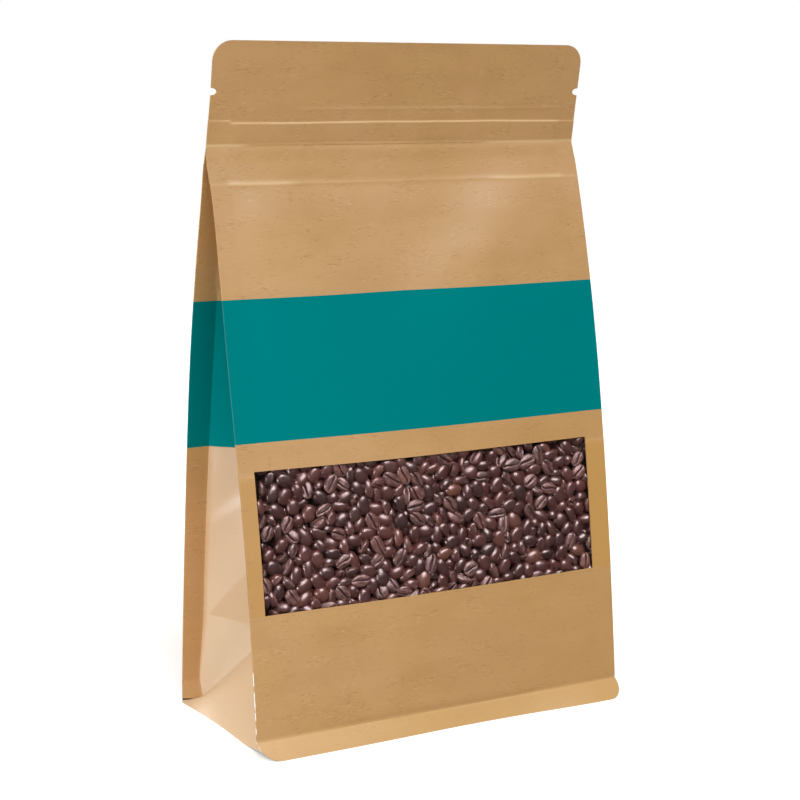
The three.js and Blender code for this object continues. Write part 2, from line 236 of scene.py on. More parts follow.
def sheet(name, outer, keep=None, fold_highlight=None, belt=None, thickness=PAPER, angle=28, plain=False):
    """A sheet of paper. Its fold highlight marks the painted highlights along its creases, and belt gives the
    height that its print goes by.
    """
    rows, columns, _ = outer.shape
    inner = outer - grid_normals(outer) * thickness
    outer[..., 2], inner[..., 2] = np.maximum(outer[..., 2], 0), np.maximum(inner[..., 2], 0)
    count = rows * columns
    index = np.arange(count).reshape(rows, columns)
    corners = np.stack([index[:-1, :-1], index[:-1, 1:], index[1:, 1:], index[1:, :-1]], axis=-1)
    if keep is not None:
        corners = corners[keep]
    quads = corners.reshape(-1, 4)
    belt = (outer[..., 2] if belt is None else belt).ravel()
    edges = {}
    for a, b, c, d in quads.tolist():
        for edge in ((a, b), (b, c), (c, d), (d, a)):
            if (edge[1], edge[0]) in edges:
                del edges[(edge[1], edge[0])]
            else:
                edges[edge] = True
    rim = [(b, a, a + count, b + count) for a, b in edges]
    faces = quads.tolist() + (quads[:, ::-1] + count).tolist() + rim
    piece = add_mesh(name, np.concatenate([outer.reshape(-1, 3), inner.reshape(-1, 3)]), faces)
    material_index = np.full(len(faces), OUTSIDE, dtype=np.int32)
    material_index[len(quads):] = INSIDE
    material_index[2 * len(quads):] = CUT
    centre = belt[quads].mean(axis=1)
    material_index[: len(quads)][(centre > BAND[0]) & (centre < BAND[1])] = PRINTED
    if not plain:
        piece.data.polygons.foreach_set("material_index", material_index)
        paint(piece, "belt", np.concatenate([belt, belt]) * MM)
    fold_highlight_values = np.zeros(count) if fold_highlight is None else fold_highlight.ravel()
    paint(piece, "fold_highlight", np.concatenate([fold_highlight_values, fold_highlight_values]))
    shade(piece, angle)
    print(name, len(piece.data.polygons), "faces")
    return piece


# %% [markdown]
# ## The outline of a panel
#
# A panel is a rectangle of paper with round corners at the top, tear notches in its header and a
# base seal, whose ends are round at the front and cut square at the back. Instead of cutting these
# with Booleans, the grid's outer columns move in and out with the height, and rows are packed
# closely wherever the outline turns. The grid stays clean, and the same rows carry the creases.

# %% Lay out a panel's grid
TOP_RADIUS = 7.3
HEADER_EDGE = 79.5
NOTCH = {"height": 245.5, "half": 1.4, "depth": 2.3}
SKIRT_ENDS = {"left": (9.5, 0.0), "right": (7.5, 2.0), "back": (0.01, 2.0)}  # radius, and spread
SKIRT_LENGTH = math.hypot(SEAM, FLARE["front"])
BOW = 0.9  # the panels' side edges bow outwards a little where the beans fill the pouch
EDGE_ZONE = 20  # only this much of the grid on each side follows the outline
SLANT = {"front": 1.0, "back": 0.6}  # how far the pouch's left edge spreads at the crease


def skirt_half(z, end):
    """Half width of the base seal: its ends are arcs, measured down the slope of the seal."""
    radius, spread = SKIRT_ENDS[end]
    down = (SEAM - z) / SEAM * SKIRT_LENGTH
    straight = SKIRT_LENGTH - radius  # below zero: the arc starts above the seam
    across = np.sqrt(np.clip(radius**2 - np.clip(down - straight, 0, radius) ** 2, 0, None))
    start = math.sqrt(radius**2 - min(straight, 0) ** 2)
    return HALF_WIDTH + spread * down / SKIRT_LENGTH + across - start


def outline_half(z, end):
    body = np.where(z < SEAM, skirt_half(z, end), HALF_WIDTH + BOW * bump(z - 150, 55))
    header = HALF_WIDTH + (HEADER_EDGE - HALF_WIDTH) * smooth(CREASE - 6, CREASE, z)
    over = np.clip(z - (TOP - TOP_RADIUS), 0, TOP_RADIUS)
    corner = TOP_RADIUS - np.sqrt(TOP_RADIUS**2 - over**2)
    in_notch = np.clip(1 - ((z - NOTCH["height"]) / NOTCH["half"]) ** 2, 0, 1)
    return np.where(z < CREASE - 6, body, header - corner - NOTCH["depth"] * np.sqrt(in_notch))


def slant(x, z, side):
    return SLANT[side] * bump(z - CREASE, 14) * smooth(-60, -80, x)


def panel_rows():
    quarter = np.linspace(0, math.pi / 2, 10)
    skirt = SEAM * (1 - np.sin(np.linspace(0.1, math.pi / 2, 14)))
    notch = NOTCH["height"] + NOTCH["half"] * np.sin(np.linspace(-math.pi / 2, math.pi / 2, 15))
    corner = TOP - TOP_RADIUS + TOP_RADIUS * np.sin(quarter)
    spans = (  # where each run of rows starts and ends, and its spacing
        (SEAM + 2.4, WINDOW_Z[0] - 0.8, 1.8),
        (WINDOW_Z[0] + 1.9, STRIP_Z[1] - 0.6, 1.9),
        (WINDOW_Z[1] + 1.5, BAND[0] - 0.6, 1.8),
        (BAND[0], BAND[1] - 0.9, 1.8),
        (BAND[1], 206, 1.8),
        (206, 218, 0.5),
        (218, 224, 0.8),
        (224, 227.4, 0.25),
        (227.4, 233, 0.8),
        (233, 236.2, 0.2),
        (236.2, 241, 0.5),
        (241, NOTCH["height"] - NOTCH["half"] - 0.4, 1.1),
        (NOTCH["height"] + NOTCH["half"] + 0.9, TOP - TOP_RADIUS, 1.5),
    )
    window = [STRIP_Z[0] - 0.3, STRIP_Z[0], WINDOW_Z[0], STRIP_Z[1] - 0.3, STRIP_Z[1], WINDOW_Z[1]]
    runs = [np.arange(*span) for span in spans]
    runs += [skirt, np.linspace(SEAM - 0.8, SEAM + 1.2, 6), window, notch, corner]
    return np.unique(np.round(np.concatenate(runs), 4))


def panel_columns():
    half = np.concatenate([np.arange(0, 69, 2.3), [70.2, 72, INNER_SEAL, 73.2, 75, 77, 79, 79.6, HALF_WIDTH]])
    return np.unique(np.concatenate([-half, half, WINDOW_X]))


def panel_grid(left_end, right_end):
    """x and z at each place of the grid."""
    columns, rows = np.meshgrid(panel_columns(), panel_rows())
    inside = HALF_WIDTH - EDGE_ZONE
    half = np.where(columns < 0, outline_half(rows, left_end), outline_half(rows, right_end))
    stretch = (half - inside) / EDGE_ZONE
    beyond = np.clip(np.abs(columns) - inside, 0, None)
    return np.sign(columns) * (np.minimum(np.abs(columns), inside) + beyond * stretch), rows


x_grid, z_grid = panel_grid("left", "right")
print("a panel has", x_grid.shape[0], "rows and", x_grid.shape[1], "columns")

# %% [markdown]
# ## Relief in the front panel
#
# Kraft paper remembers every fold. On the real pouch the zipper shows as a raised band under the
# header, with a bright line where its upper edge catches the light. Below the crease runs a
# second, softer one. From there the panel is hollow in its middle, and full again further down,
# with broad, slow swells. All of this is added outwards from the smooth profile, as small
# functions of x and z. Real geometry beats a bump map here, because the light then rakes over true
# slopes from any side.

# %% Write the relief functions
def wander(x, seed, reach):
    """A slow random walk along a line, from three sines, within about one reach."""
    phases = np.random.default_rng(seed).uniform(0, 2 * math.pi, 3)
    waves = [np.sin(x / length + phase) for length, phase in zip((23, 9.5, 4.1), phases)]
    return reach * (0.55 * waves[0] + 0.3 * waves[1] + 0.15 * waves[2])


LINES = {  # height, which random walk the line follows, and how far it strays
    "seam": (SEAM + 0.5, 5, 0.35),
    "second": (CREASED, 2, 0.3),
    "crease": (CREASE + 0.3, 8, 0.15),
    "zipper": (234.0, 0, 0.2),
    "track": (239.2, 1, 0.15),
}


def line(name, x, seed):
    """Height of one of the panel's lines. The zipper's steps up where the side seal crosses it."""
    height, walk, reach = LINES[name]
    step = 0.8 * smooth(-70.5, -71.5, x) if name == "zipper" else 0
    return height + wander(x, seed + walk, reach) + step


def track(x, z, seed):
    """A finer ridge above the zipper's edge, which fades out towards the left."""
    return bump(z - line("track", x, seed), 0.4) * smooth(-48, -38, x)


def zipper_relief(x, z, seed):
    edge = line("zipper", x, seed)
    raised = smooth(edge + 0.4, edge - 0.25, z) * smooth(CREASE - 7, CREASE - 1, z)
    under = -0.12 * bump(z - (edge - 1.1), 0.7)
    ends = smooth(75, 69, np.abs(x))
    return (raised + under) * (0.25 + 0.3 * ends) + 0.15 * track(x, z, seed) * ends


# The hollow is wide above and closes below, and is deepest in between.
HOLLOW_HALF = ((150, 14), (185, 22), (211, 44), (CREASE, 66))
HOLLOW_DEPTH = ((140, 0), (156, 0.8), (172, 2.7), (184, 3.8), (198, 2.8), (CREASED, 1.7), (CREASE, 0))


def hollow(x, z):
    """The panel's top is hollow in its middle, between two folds that run down to a point."""
    half = knotted(z, HOLLOW_HALF)
    return -knotted(z, HOLLOW_DEPTH) * smooth(half + 22, half - 20, np.abs(x + 5))


def at_sides(x):
    """Where the second crease is clearest."""
    return np.maximum(smooth(-42, -50, x), smooth(37, 43, x))


def crease_relief(x, z, seed):
    """A fine lip at the crease, and a soft second one from which the paper stands out again."""
    lip = 0.22 * bump(z - line("crease", x, seed), 0.42) * (0.7 + wander(x, seed + 9, 0.5))
    ridge = bump(z - line("second", x, seed), 0.75) * (0.14 + 0.16 * at_sides(x))
    return lip + ridge * smooth(75, 71, np.abs(x))


WAVES = (  # middle x and z, half width and half height, depth: soft dents and swells in the front
    (-54, 206, 20, 16, 0.7),
    (50, 207, 22, 13, 0.9),
    (-52, 181, 18, 9, -0.6),
    (66, 180, 12, 10, -0.4),
    (-22, 104, 34, 8, 0.9),
    (30, 36, 40, 14, 0.5),
    (-45, 28, 26, 12, -0.5),
    (66, 24, 12, 12, 0.6),
)


def broad_waves(x, z, waves):
    inside = smooth(77, 62, np.abs(x)) * smooth(CREASE + 1, CREASE - 8, z)
    total = sum(depth * bump(x - cx, wx) * bump(z - cz, wz) for cx, cz, wx, wz, depth in waves)
    return inside * total


def seal_relief(x, z, seed):
    """The side seals are pressed a little flat, and the base seam is a groove under a soft swell."""
    side = -0.03 * bump(np.abs(x) - INNER_SEAL, 0.9) * smooth(CREASE, CREASE - 10, z)
    seam = line("seam", x, seed)
    groove = -0.12 * bump(z - seam, 0.8) + 0.3 * bump(z - seam - 2.5, 3.0) * bump(x, 40)
    return side + groove


def strip_relief(z):
    """The clear strip behind the paper makes it stand up by a hair, between two fine lines."""
    return 0.1 * smooth(STRIP_Z[0] - 0.25, STRIP_Z[0], z) * smooth(STRIP_Z[1] + 0.25, STRIP_Z[1], z)


def panel_relief(x, z, seed, waves):
    pressed = zipper_relief(x, z, seed) + crease_relief(x, z, seed) + seal_relief(x, z, seed)
    return pressed + strip_relief(z) + broad_waves(x, z, waves) + hollow(x, z)


def fold_highlight_mask(x, z, seed):
    """Where the paper is folded hard or ridged, a paler line is painted: a painted highlight where the light
    catches it.
    """
    strong = 0.12 + 0.88 * np.maximum(smooth(-62, -68, x), smooth(36, 42, x))
    crease = 1.3 * bump(z - line("crease", x, seed), 0.42) * strong
    zipper = bump(z - line("zipper", x, seed), 0.5) * (0.25 + 0.6 * smooth(72.2, 71, np.abs(x)))
    zipper += 0.35 * track(x, z, seed) * smooth(52, 42, x)
    sides = at_sides(x) * smooth(75, 71, np.abs(x))
    second = bump(z - line("second", x, seed), 0.35 + 0.35 * sides)
    second = second * (0.35 + 0.6 * sides + wander(x, seed + 4, 0.2))
    strip = bump(z - STRIP_Z[0], 0.3) + bump(z - STRIP_Z[1], 0.3)
    seam = 0.2 * bump(z - line("seam", x, seed), 0.5)
    return np.clip(crease + zipper + second + 0.3 * strip + seam, 0, 1)


# %% [markdown]
# ## The front and back panels
#
# The front panel runs from the cut top edge of the header down to the foot of the base seal. The
# window is left out of the grid, whose lines were placed on its edges. The back
# panel is the same sheet turned round, with waves of its own and no window.

# %% Build the two panels
FRONT_SEED = 11
BACK_SEED = 23
BACK_WAVES = tuple((-x, z - 9, w, h, -depth) for x, z, w, h, depth in WAVES)


def panel_points(x, z, facing, seed, waves):
    side = "front" if facing < 0 else "back"
    out = half_depth(z) + bulge(x, z) + flare(x, z, side) + panel_relief(x, z, seed, waves)
    return np.stack([x - slant(x, z, side), facing * out - lean(z), z], axis=-1)


middle_x, middle_z = ((grid[:-1, :-1] + grid[1:, 1:]) / 2 for grid in (x_grid, z_grid))
in_window = (middle_x > WINDOW_X[0]) & (middle_x < WINDOW_X[1])
in_window &= (middle_z > WINDOW_Z[0]) & (middle_z < WINDOW_Z[1])

front_points = panel_points(x_grid, z_grid, -1, FRONT_SEED, WAVES)
front_fold_highlight = fold_highlight_mask(x_grid, z_grid, FRONT_SEED)
front_panel = sheet("front_panel", front_points, keep=~in_window, fold_highlight=front_fold_highlight)

back_x, _ = panel_grid("back", "back")
back_points = panel_points(-back_x, z_grid, 1, BACK_SEED, BACK_WAVES)


def side_belt(z):
    """Heights stretched so that the band lies between the side band's edges."""
    return BAND[0] + (z - SIDE_BAND[0]) * (BAND[1] - BAND[0]) / (SIDE_BAND[1] - SIDE_BAND[0])


back_fold_highlight = fold_highlight_mask(-back_x, z_grid, BACK_SEED)
back_panel = sheet("back_panel", back_points, fold_highlight=back_fold_highlight, belt=side_belt(z_grid))

# %% [markdown]
# ## The gussets
#
# Each side is closed by one strip of paper folded inwards. Paper doesn't stretch, so if the
# strip's half keeps its width, Pythagoras gives how deep the fold lies at every height: the
# closer the panels, the deeper the fold. Near the base the fold opens into a facet that slopes out
# to the floor, swept by straight lines as a bent sheet is. A cross-section is a bent line with six
# corners, and the sheet is those lines stacked up. Its front and back edges lie against the panels
# and make the fins, and follow the outline of their own side of the pouch.

# %% Build the gussets
APEX = 34.6
FOOT = {"front": (78.0, 38.8), "back": (83.0, 34.2)}  # x and y of the foot's two corners
HEEL = (0.8, 73.6)  # height and x of the bend beside the back fin
FOLD = 0.35
FOOT_LIFT = 1.8  # how high the foot's front end is off the floor
FIN_LIFT = 1.1  # and the corner of the back fin
FOOT_BOW = 1.7  # the foot's edge is drawn in between its corners
GUSSET_CREASE = 35.3
FIN_INNER = {"front": 74.7, "back": 71.8}  # where the gusset's paper leaves the panels' fins


def valley(z):
    return np.sqrt(np.clip(HALF_BASE**2 - half_depth(z) ** 2, 0, None))


APEX_X = FIN_INNER["back"] - float(valley(np.float64(APEX)))


def gusset_corners(z, side):
    """The six corners of the cross-section at one height, from the back fin to the front fin."""
    flat = half_depth(z) - 2 * PAPER - 0.16 - 0.35 * bump(z - SEAM - 0.5, 1.4)
    end = -HALF_WIDTH if side == "left" else HALF_WIDTH
    back, front = flat + flare(end, z, "back"), flat + flare(end, z, "front")
    climb = np.clip(z / APEX, 0, 1)
    inside = FIN_INNER["back"] - valley(z)
    heel_x = np.interp(z, (0, HEEL[0], APEX), (FOOT["back"][0], HEEL[1], APEX_X))
    fold_back_x = np.where(z < APEX, heel_x, inside)
    fold_front_x = np.where(z < APEX, FOOT["front"][0] + (APEX_X - FOOT["front"][0]) * climb, inside)
    fold_back = np.minimum(np.maximum(FOLD, FOOT["back"][1] * (1 - climb)), back)
    fold_front = np.maximum(FOLD, FOOT["front"][1] * (1 - climb))
    fold_front = np.minimum(fold_front, np.maximum(front, 0.05))
    edge_back = outline_half(z, "back") + slant(end, z, "back") + 0.06
    edge_front = outline_half(z, side) + slant(end, z, "front") - 0.02
    inner_back = FIN_INNER["back"] + np.interp(z, (2, 32), (1.4, -0.3))
    inner_front = 0 * z + FIN_INNER["front"]
    xs = np.stack([edge_back, inner_back, fold_back_x, fold_front_x, inner_front, edge_front], axis=-1)
    ys = np.stack([back, back, fold_back, -fold_front, -front, -front], axis=-1)
    return np.stack([xs, ys], axis=-1)


def gusset_rows():
    spans = (  # where each run of rows starts and ends, and its spacing
        (10, 33.5, 1.0),
        (33.5, 37.5, 0.4),
        (37.5, 80, 1.0),
        (80, 104, 2.0),
        (104, 118.5, 0.5),
        (120, 164.5, 2.0),
        (165.2, 170.5, 0.5),
        (172, 222, 2.0),
    )
    runs = [np.linspace(0, 1.2, 4), np.linspace(1.8, 9, 10), [223.5, 224.6]]
    runs += [np.arange(*span) for span in spans]
    return np.unique(np.round(np.concatenate(runs), 4))


SEGMENTS = (5, 26, 24, 26, 5)  # grid columns in each straight stretch of the cross-section
STARTS = np.cumsum((0,) + SEGMENTS)
COLUMNS = STARTS[-1] + 1
FROM_BACK = (np.arange(COLUMNS) - STARTS[1]) / SEGMENTS[1]
FROM_FRONT = (STARTS[4] - np.arange(COLUMNS)) / SEGMENTS[3]
ACROSS = np.minimum(FROM_BACK, FROM_FRONT)  # 0 at a seal and 1 at the fold, for each column


def facet_line(z, along):
    """The foot's facet is swept by straight lines from the diagonal fold down to the foot's edge."""
    heel = np.array([HEEL[1], FOOT["back"][1] * (1 - HEEL[0] / APEX)])
    tip = np.array([APEX_X, 0])
    back, front = np.array(FOOT["back"]), np.array(FOOT["front"]) * (1, -1)
    start = np.clip((z - HEEL[0]) / (APEX - HEEL[0]), 0, 1)
    t = (start + (1 - start) * along)[..., None]
    up = np.clip(z[..., None] / (HEEL[0] + (APEX - HEEL[0]) * t), 0, 1)
    edge = back + (front - back) * t - FOOT_BOW * np.sin(math.pi * t) * (1, 0)
    return up * (heel + (tip - heel) * t) + (1 - up) * edge


def bend(z, side):
    """The cross-section's x and y at each grid column, for a grid of heights with a row per level."""
    corners = gusset_corners(z, side)
    column = np.arange(COLUMNS)
    segment = np.minimum(np.searchsorted(STARTS, column, side="right") - 1, len(SEGMENTS) - 1)
    along = ((column - STARTS[segment]) / np.array(SEGMENTS)[segment])[None, :, None]
    rows = np.arange(z.shape[0])[:, None]
    start = corners[rows, column[None, :], segment[None, :]]
    end = corners[rows, column[None, :], segment[None, :] + 1]
    first, last = facet_line(z, 0.0), facet_line(z, 1.0)
    curved = facet_line(z, along[..., 0]) - first - (last - first) * along
    return start + (end - start) * along + curved * (segment == 2)[None, :, None]


def foot_edge(y):
    """Height of the sheet's lower edge: on the floor, but lifted where it joins the base seals."""
    back_fin = np.clip(1 - np.arange(COLUMNS) / SEGMENTS[0], 0, 1)
    return FOOT_LIFT * smooth(-19, -40, y) + FIN_LIFT * back_fin


def diagonal(across):
    """Height of the crease that rises from the back fin, left from when the pouch lay folded flat."""
    return 32 + 44 * across


def gusset_relief(across, z, front):
    """Relief outwards. across runs from 0 at a seal to 1 at the fold, and front marks the front half."""
    inside = smooth(0.0, 0.1, across) * smooth(1.0, 0.9, across)
    top = np.maximum(diagonal(across), GUSSET_CREASE + 2)
    above = np.clip(1 - (z - GUSSET_CREASE) / (top - GUSSET_CREASE), 0, 1)
    below = np.clip(1 - (GUSSET_CREASE - z) / 9, 0, 1)
    facet = -1.5 * np.where(z > GUSSET_CREASE, above, below) * np.clip((top - GUSSET_CREASE) / 14, 0, 1)
    step = 0.5 * smooth(4, -3, z - 74 - 30 * across) * smooth(diagonal(across), diagonal(across) + 12, z)
    soft = 0.6 * bump(z - (98 + 12 * across), 12) + 0.5 * bump(z - 140, 22) * bump(across - 0.5, 0.4)
    low = -0.7 * bump(z - 21, 7) * bump(across - 0.35, 0.25) + 0.5 * bump(z - 12, 9) * bump(across - 0.8, 0.2)
    pressed = np.clip(1 - np.exp(-across / 0.06), 0, 1) * np.clip(1 - across, 0, 1)
    pressed = 2.6 * front * pressed * smooth(40, 56, z) * smooth(128, 112, z)
    return inside * (facet + step + soft + low) * smooth(5, 24, z) + pressed


def gusset_points(side):
    """One gusset as if on the right, its columns running from the back fin to the front fin."""
    level = np.repeat(gusset_rows()[:, None], COLUMNS, axis=1)
    z = level
    for _ in range(3):  # a lifted foot changes the height, which changes the cross-section
        plan = bend(z, side)
        z = level + foot_edge(plan[..., 1]) * np.clip(1 - level / 10, 0, 1)
    points = np.concatenate([bend(z, side), z[..., None]], axis=-1)
    relief = gusset_relief(ACROSS + 0 * z, z, (FROM_FRONT < FROM_BACK) + 0 * z)
    return points - grid_normals(points) * relief[..., None]


def gusset_sheen_paint(z):
    """Where a sheen is painted on the gusset's paper, as a paler colour: inside its fins and below the band.
    """
    z = z[:, None]
    facet = smooth(GUSSET_CREASE - 0.5, GUSSET_CREASE + 0.5, z)
    facet = facet * smooth(diagonal(ACROSS) + 1, diagonal(ACROSS) - 1, z)
    foot = smooth(1.0, 1.02, ACROSS) * smooth(APEX + 1, APEX - 2, z)
    # painted sheen: strongest below the band and low down, weaker on the facet and the foot
    painted_sheen = 0.65 * smooth(122, 98, z) + 0.35 * smooth(76, 36, z)
    return smooth(-0.02, 0.08, ACROSS) * painted_sheen * (1 - 0.4 * facet) * (1 - 0.3 * foot)


def gusset_fold_highlight(z):
    across = np.clip(ACROSS, 0, 1)
    # painted highlights: paler lines along the gusset's crease, its diagonal, its seals and its fold
    lines = 0.25 * bump(z[:, None] - GUSSET_CREASE, 0.5) + 0.1 * bump(z[:, None] - diagonal(across), 0.9)
    lines = lines * smooth(0.0, 0.08, across) * smooth(1.02, 0.95, across)
    lines[:, STARTS[1:5]] += 0.15
    return np.clip(lines, 0, 1)


def gusset_belt(z):
    """The band runs down from the front panel's height on the front half, and is level on the back."""
    towards_fold = np.clip(FROM_FRONT, 0, 1)
    return z * (1 - towards_fold) + side_belt(z) * towards_fold


left_points, right_points = gusset_points("left") * (-1, 1, 1), gusset_points("right")
folds = gusset_fold_highlight(gusset_rows())
pale = gusset_sheen_paint(gusset_rows())
belts = gusset_belt(right_points[..., 2])
gusset_left = sheet("gusset_left", left_points, fold_highlight=folds, belt=belts, angle=20)
turned_round = {"fold_highlight": folds[:, ::-1], "belt": belts[:, ::-1]}
gusset_right = sheet("gusset_right", right_points[:, ::-1], **turned_round, angle=20)
# pale holds each gusset's painted sheen
paint(gusset_left, "pale", np.tile(pale.ravel(), 2))
paint(gusset_right, "pale", np.tile(pale[:, ::-1].ravel(), 2))

# %% [markdown]
# ## The base
#
# Under the pouch a flat panel of the same paper carries the weight. Its edges turn up inside the base
# seals. It is hardly ever seen, but a part gets picked up and turned over, so it is
# made like the rest: a shallow tray with a slight sag in the middle.

# %% Build the base
BASE_HALF = (73.0, 42.6)
TURN_UP = 6.6


def base_points():
    steps = np.linspace(-1, 1, 61)
    u, v = np.meshgrid(steps, steps)
    reach = np.maximum(np.abs(u), np.abs(v))
    x = u * (BASE_HALF[0] - 8 * smooth(0.68, 1, np.abs(v)))
    y = BASE_HALF[1] * v - 3.4 * np.sign(v) * smooth(0.93, 1, np.abs(v))
    y = y - np.clip(v, 0, 1) * 4 * smooth(0.7, 1, np.abs(u))
    turned_up = smooth(0.93, 1.0, np.abs(v)) * smooth(0.93, 0.85, np.abs(u))
    z = 0.05 + TURN_UP * turned_up + 0.25 * bump(u * v, 0.3) * smooth(0.9, 0.4, reach)
    return np.stack([x, y, z], axis=-1)


base_panel = sheet("base_panel", base_points()[:, ::-1], angle=40)

# %% [markdown]
# ## The window
#
# A strip of clear film is laminated behind the opening. It follows the front panel, just behind
# the paper, with hardly any relief of its own, so it is a thin sheet on the same profile.

# %% Build the film
FILM = 0.1  # its thickness


def film_front(x, z):
    """y of the film's outer face."""
    return PAPER + 0.05 - (half_depth(z) + bulge(x, z) + broad_waves(x, z, WAVES))


film_heights = np.linspace(WINDOW_Z[0] - 2, WINDOW_Z[1] + 2, 26)
film_x, film_z = np.meshgrid(np.linspace(-74.6, 73.4, 60), film_heights)
film_points = np.stack([film_x, film_front(film_x, film_z), film_z], axis=-1)
window_film = sheet("window_film", film_points, thickness=FILM, plain=True)

# %% [markdown]
# ## One coffee bean
#
# A roasted bean is a fat half-egg: a domed back, a flatter face, and a crease that runs down the
# middle of the face in a lazy S with a lip on each side. It is built as a loft, ring after
# ring along its length, with more points where the crease is. Every bean gets its own length,
# width, thickness and bend, so no two are alike.

# %% Shape a bean
BEAN = {"length": 7.5, "width": 5.6, "dome": 2.6, "face": 1.15}
FACE_STEPS = np.array([-0.97, -0.86, -0.66, -0.42, -0.24, -0.12, 0.0, 0.12, 0.24, 0.42, 0.66, 0.86, 0.97])
DOME_TURNS = np.radians(np.linspace(12, 168, 9))


def bean_rings(count, rng):
    """Rings of points along a bean, long on x, wide on y, its dome up on z and its face down."""
    length = BEAN["length"] / 2 * rng.uniform(0.87, 1.1)
    width = BEAN["width"] / 2 * rng.uniform(0.9, 1.1)
    dome = BEAN["dome"] * rng.uniform(0.9, 1.1)
    face = BEAN["face"] * rng.uniform(0.8, 1.15)
    sway = rng.uniform(-0.6, 0.6)
    deep = rng.uniform(0.75, 1.2)
    skew = rng.uniform(-0.12, 0.12)
    rings, marks = [], []
    for t in -np.cos(np.linspace(0.16, math.pi - 0.16, count)):
        girth = (1 - abs(t) ** 2.6) ** 0.5 * (1 + skew * t)
        w = width * girth
        middle = sway * math.sin(t * 2.6) * girth
        y_face = FACE_STEPS * w + middle * (1 - np.abs(FACE_STEPS))
        z_face = -face * girth**0.7 * (1 - np.abs(FACE_STEPS) ** 2.6) ** 0.5
        groove = bump(y_face - middle, 0.26) * max(0.0, 1 - t * t * 1.05) ** 0.35
        lips = bump(np.abs(y_face - middle) - 0.66, 0.34) * girth
        z_face = z_face + 1.0 * deep * groove - 0.26 * lips
        y_dome = w * np.cos(DOME_TURNS)
        z_dome = dome * girth**0.9 * np.sin(DOME_TURNS) ** 0.85
        y = np.concatenate([y_face, y_dome])
        z = np.concatenate([z_face, z_dome])
        rings.append(np.stack([np.full(len(y), t * length), y, z], axis=-1))
        flatness = np.concatenate([np.clip(1.15 - np.abs(FACE_STEPS) ** 4, 0, 1), np.zeros(len(y_dome))])
        marks.append(np.stack([np.pad(groove, (0, len(y_dome))), flatness], axis=-1))
    return np.array(rings), np.array(marks)


def lumpy(points, rng):
    """The same bean with a few slow swellings, as no bean is quite regular."""
    swell = np.zeros(len(points))
    for length in (2.4, 1.7, 1.3):
        direction = rng.normal(size=3)
        direction /= np.linalg.norm(direction)
        swell += np.sin(points @ direction / length + rng.uniform(0, 6.3))
    return points * (1 + 0.03 * swell)[:, None]


def bean_mesh(count, rng):
    """Vertices, faces, and the crease and face masks of one bean, closed at both tips."""
    rings, marks = bean_rings(count, rng)
    around = rings.shape[1]
    tips = np.array([rings[0].mean(axis=0), rings[-1].mean(axis=0)])
    tips[0, 0] -= 0.12
    tips[1, 0] += 0.12
    vertices = np.concatenate([rings.reshape(-1, 3), tips])
    index = np.arange(count * around).reshape(count, around)
    after = np.roll(index, -1, axis=1)
    quads = np.stack([index[:-1], after[:-1], after[1:], index[1:]], axis=-1).reshape(-1, 4)
    first, last = count * around, count * around + 1
    fans = [(after[0, j], index[0, j], first) for j in range(around)]
    fans += [(index[-1, j], after[-1, j], last) for j in range(around)]
    return lumpy(vertices, rng), quads, fans, np.concatenate([marks.reshape(-1, 2), np.zeros((2, 2))])


sample = bean_mesh(13, np.random.default_rng(1))
print("one bean:", len(sample[0]), "points,", 2 * len(sample[1]) + len(sample[2]), "triangles")

# %% [markdown]
# ## A settled heap
#
# Beans poured into a pouch come to rest pressed against the film, turned every way. A
# rigid-body simulation would give this, but a small solver in NumPy is quicker and gives the same
# heap every time. Each bean is a cluster of balls. In every step the beans drift towards
# the film, balls that overlap push their beans apart and turn them, and the walls push back.

# %% Settle the beans
BEAN_COUNT = 800
HEAP_DEPTH = 12.0
BALLS = np.array(
    [
        (0, 0, 0.68, 1.76),
        (1.36, 0, 0.63, 1.67),
        (-1.36, 0, 0.63, 1.67),
        (2.5, 0, 0.4, 1.22),
        (-2.5, 0, 0.4, 1.22),
        (0.55, 1.08, 0.45, 1.49),
        (0.55, -1.08, 0.45, 1.49),
        (-0.55, 1.08, 0.45, 1.49),
        (-0.55, -1.08, 0.45, 1.49),
    ]
)
ROOM_X = FIN_INNER["front"] + 0.8
ROOM_Z = (WINDOW_Z[1] - WINDOW_Z[0]) / 2 + 3.6


def turn_matrices(quaternions):
    w, x, y, z = quaternions.T
    return np.stack(
        [
            np.stack([1 - 2 * (y * y + z * z), 2 * (x * y - w * z), 2 * (x * z + w * y)], axis=-1),
            np.stack([2 * (x * y + w * z), 1 - 2 * (x * x + z * z), 2 * (y * z - w * x)], axis=-1),
            np.stack([2 * (x * z - w * y), 2 * (y * z + w * x), 1 - 2 * (x * x + y * y)], axis=-1),
        ],
        axis=1,
    )


def turned(quaternions, spins):
    """The quaternions after small turns, each given as an axis times an angle."""
    angle = np.linalg.norm(spins, axis=1, keepdims=True)
    axis = spins / np.maximum(angle, 1e-9)
    half = np.minimum(angle, 0.25) / 2
    a = np.concatenate([np.cos(half), axis * np.sin(half)], axis=1)
    aw, av = a[:, :1], a[:, 1:]
    bw, bv = quaternions[:, :1], quaternions[:, 1:]
    product = np.concatenate(
        [aw * bw - (av * bv).sum(axis=1, keepdims=True), aw * bv + bw * av + np.cross(av, bv)], axis=1
    )
    return product / np.linalg.norm(product, axis=1, keepdims=True)


def wall_push(centres, radii):
    """How far each ball is through the film, the back, the sides or the ends of its space."""
    x, y, z = centres[..., 0], centres[..., 1], centres[..., 2]
    reach = ROOM_X - 0.8 * np.clip(y - 3, 0, None)

    def into(value, lowest, highest):
        return np.clip(lowest + radii - value, 0, None) - np.clip(value + radii - highest, 0, None)

    return np.stack([into(x, -reach, reach), into(y, 0.0, HEAP_DEPTH + 3), into(z, -ROOM_Z, ROOM_Z)], axis=-1)


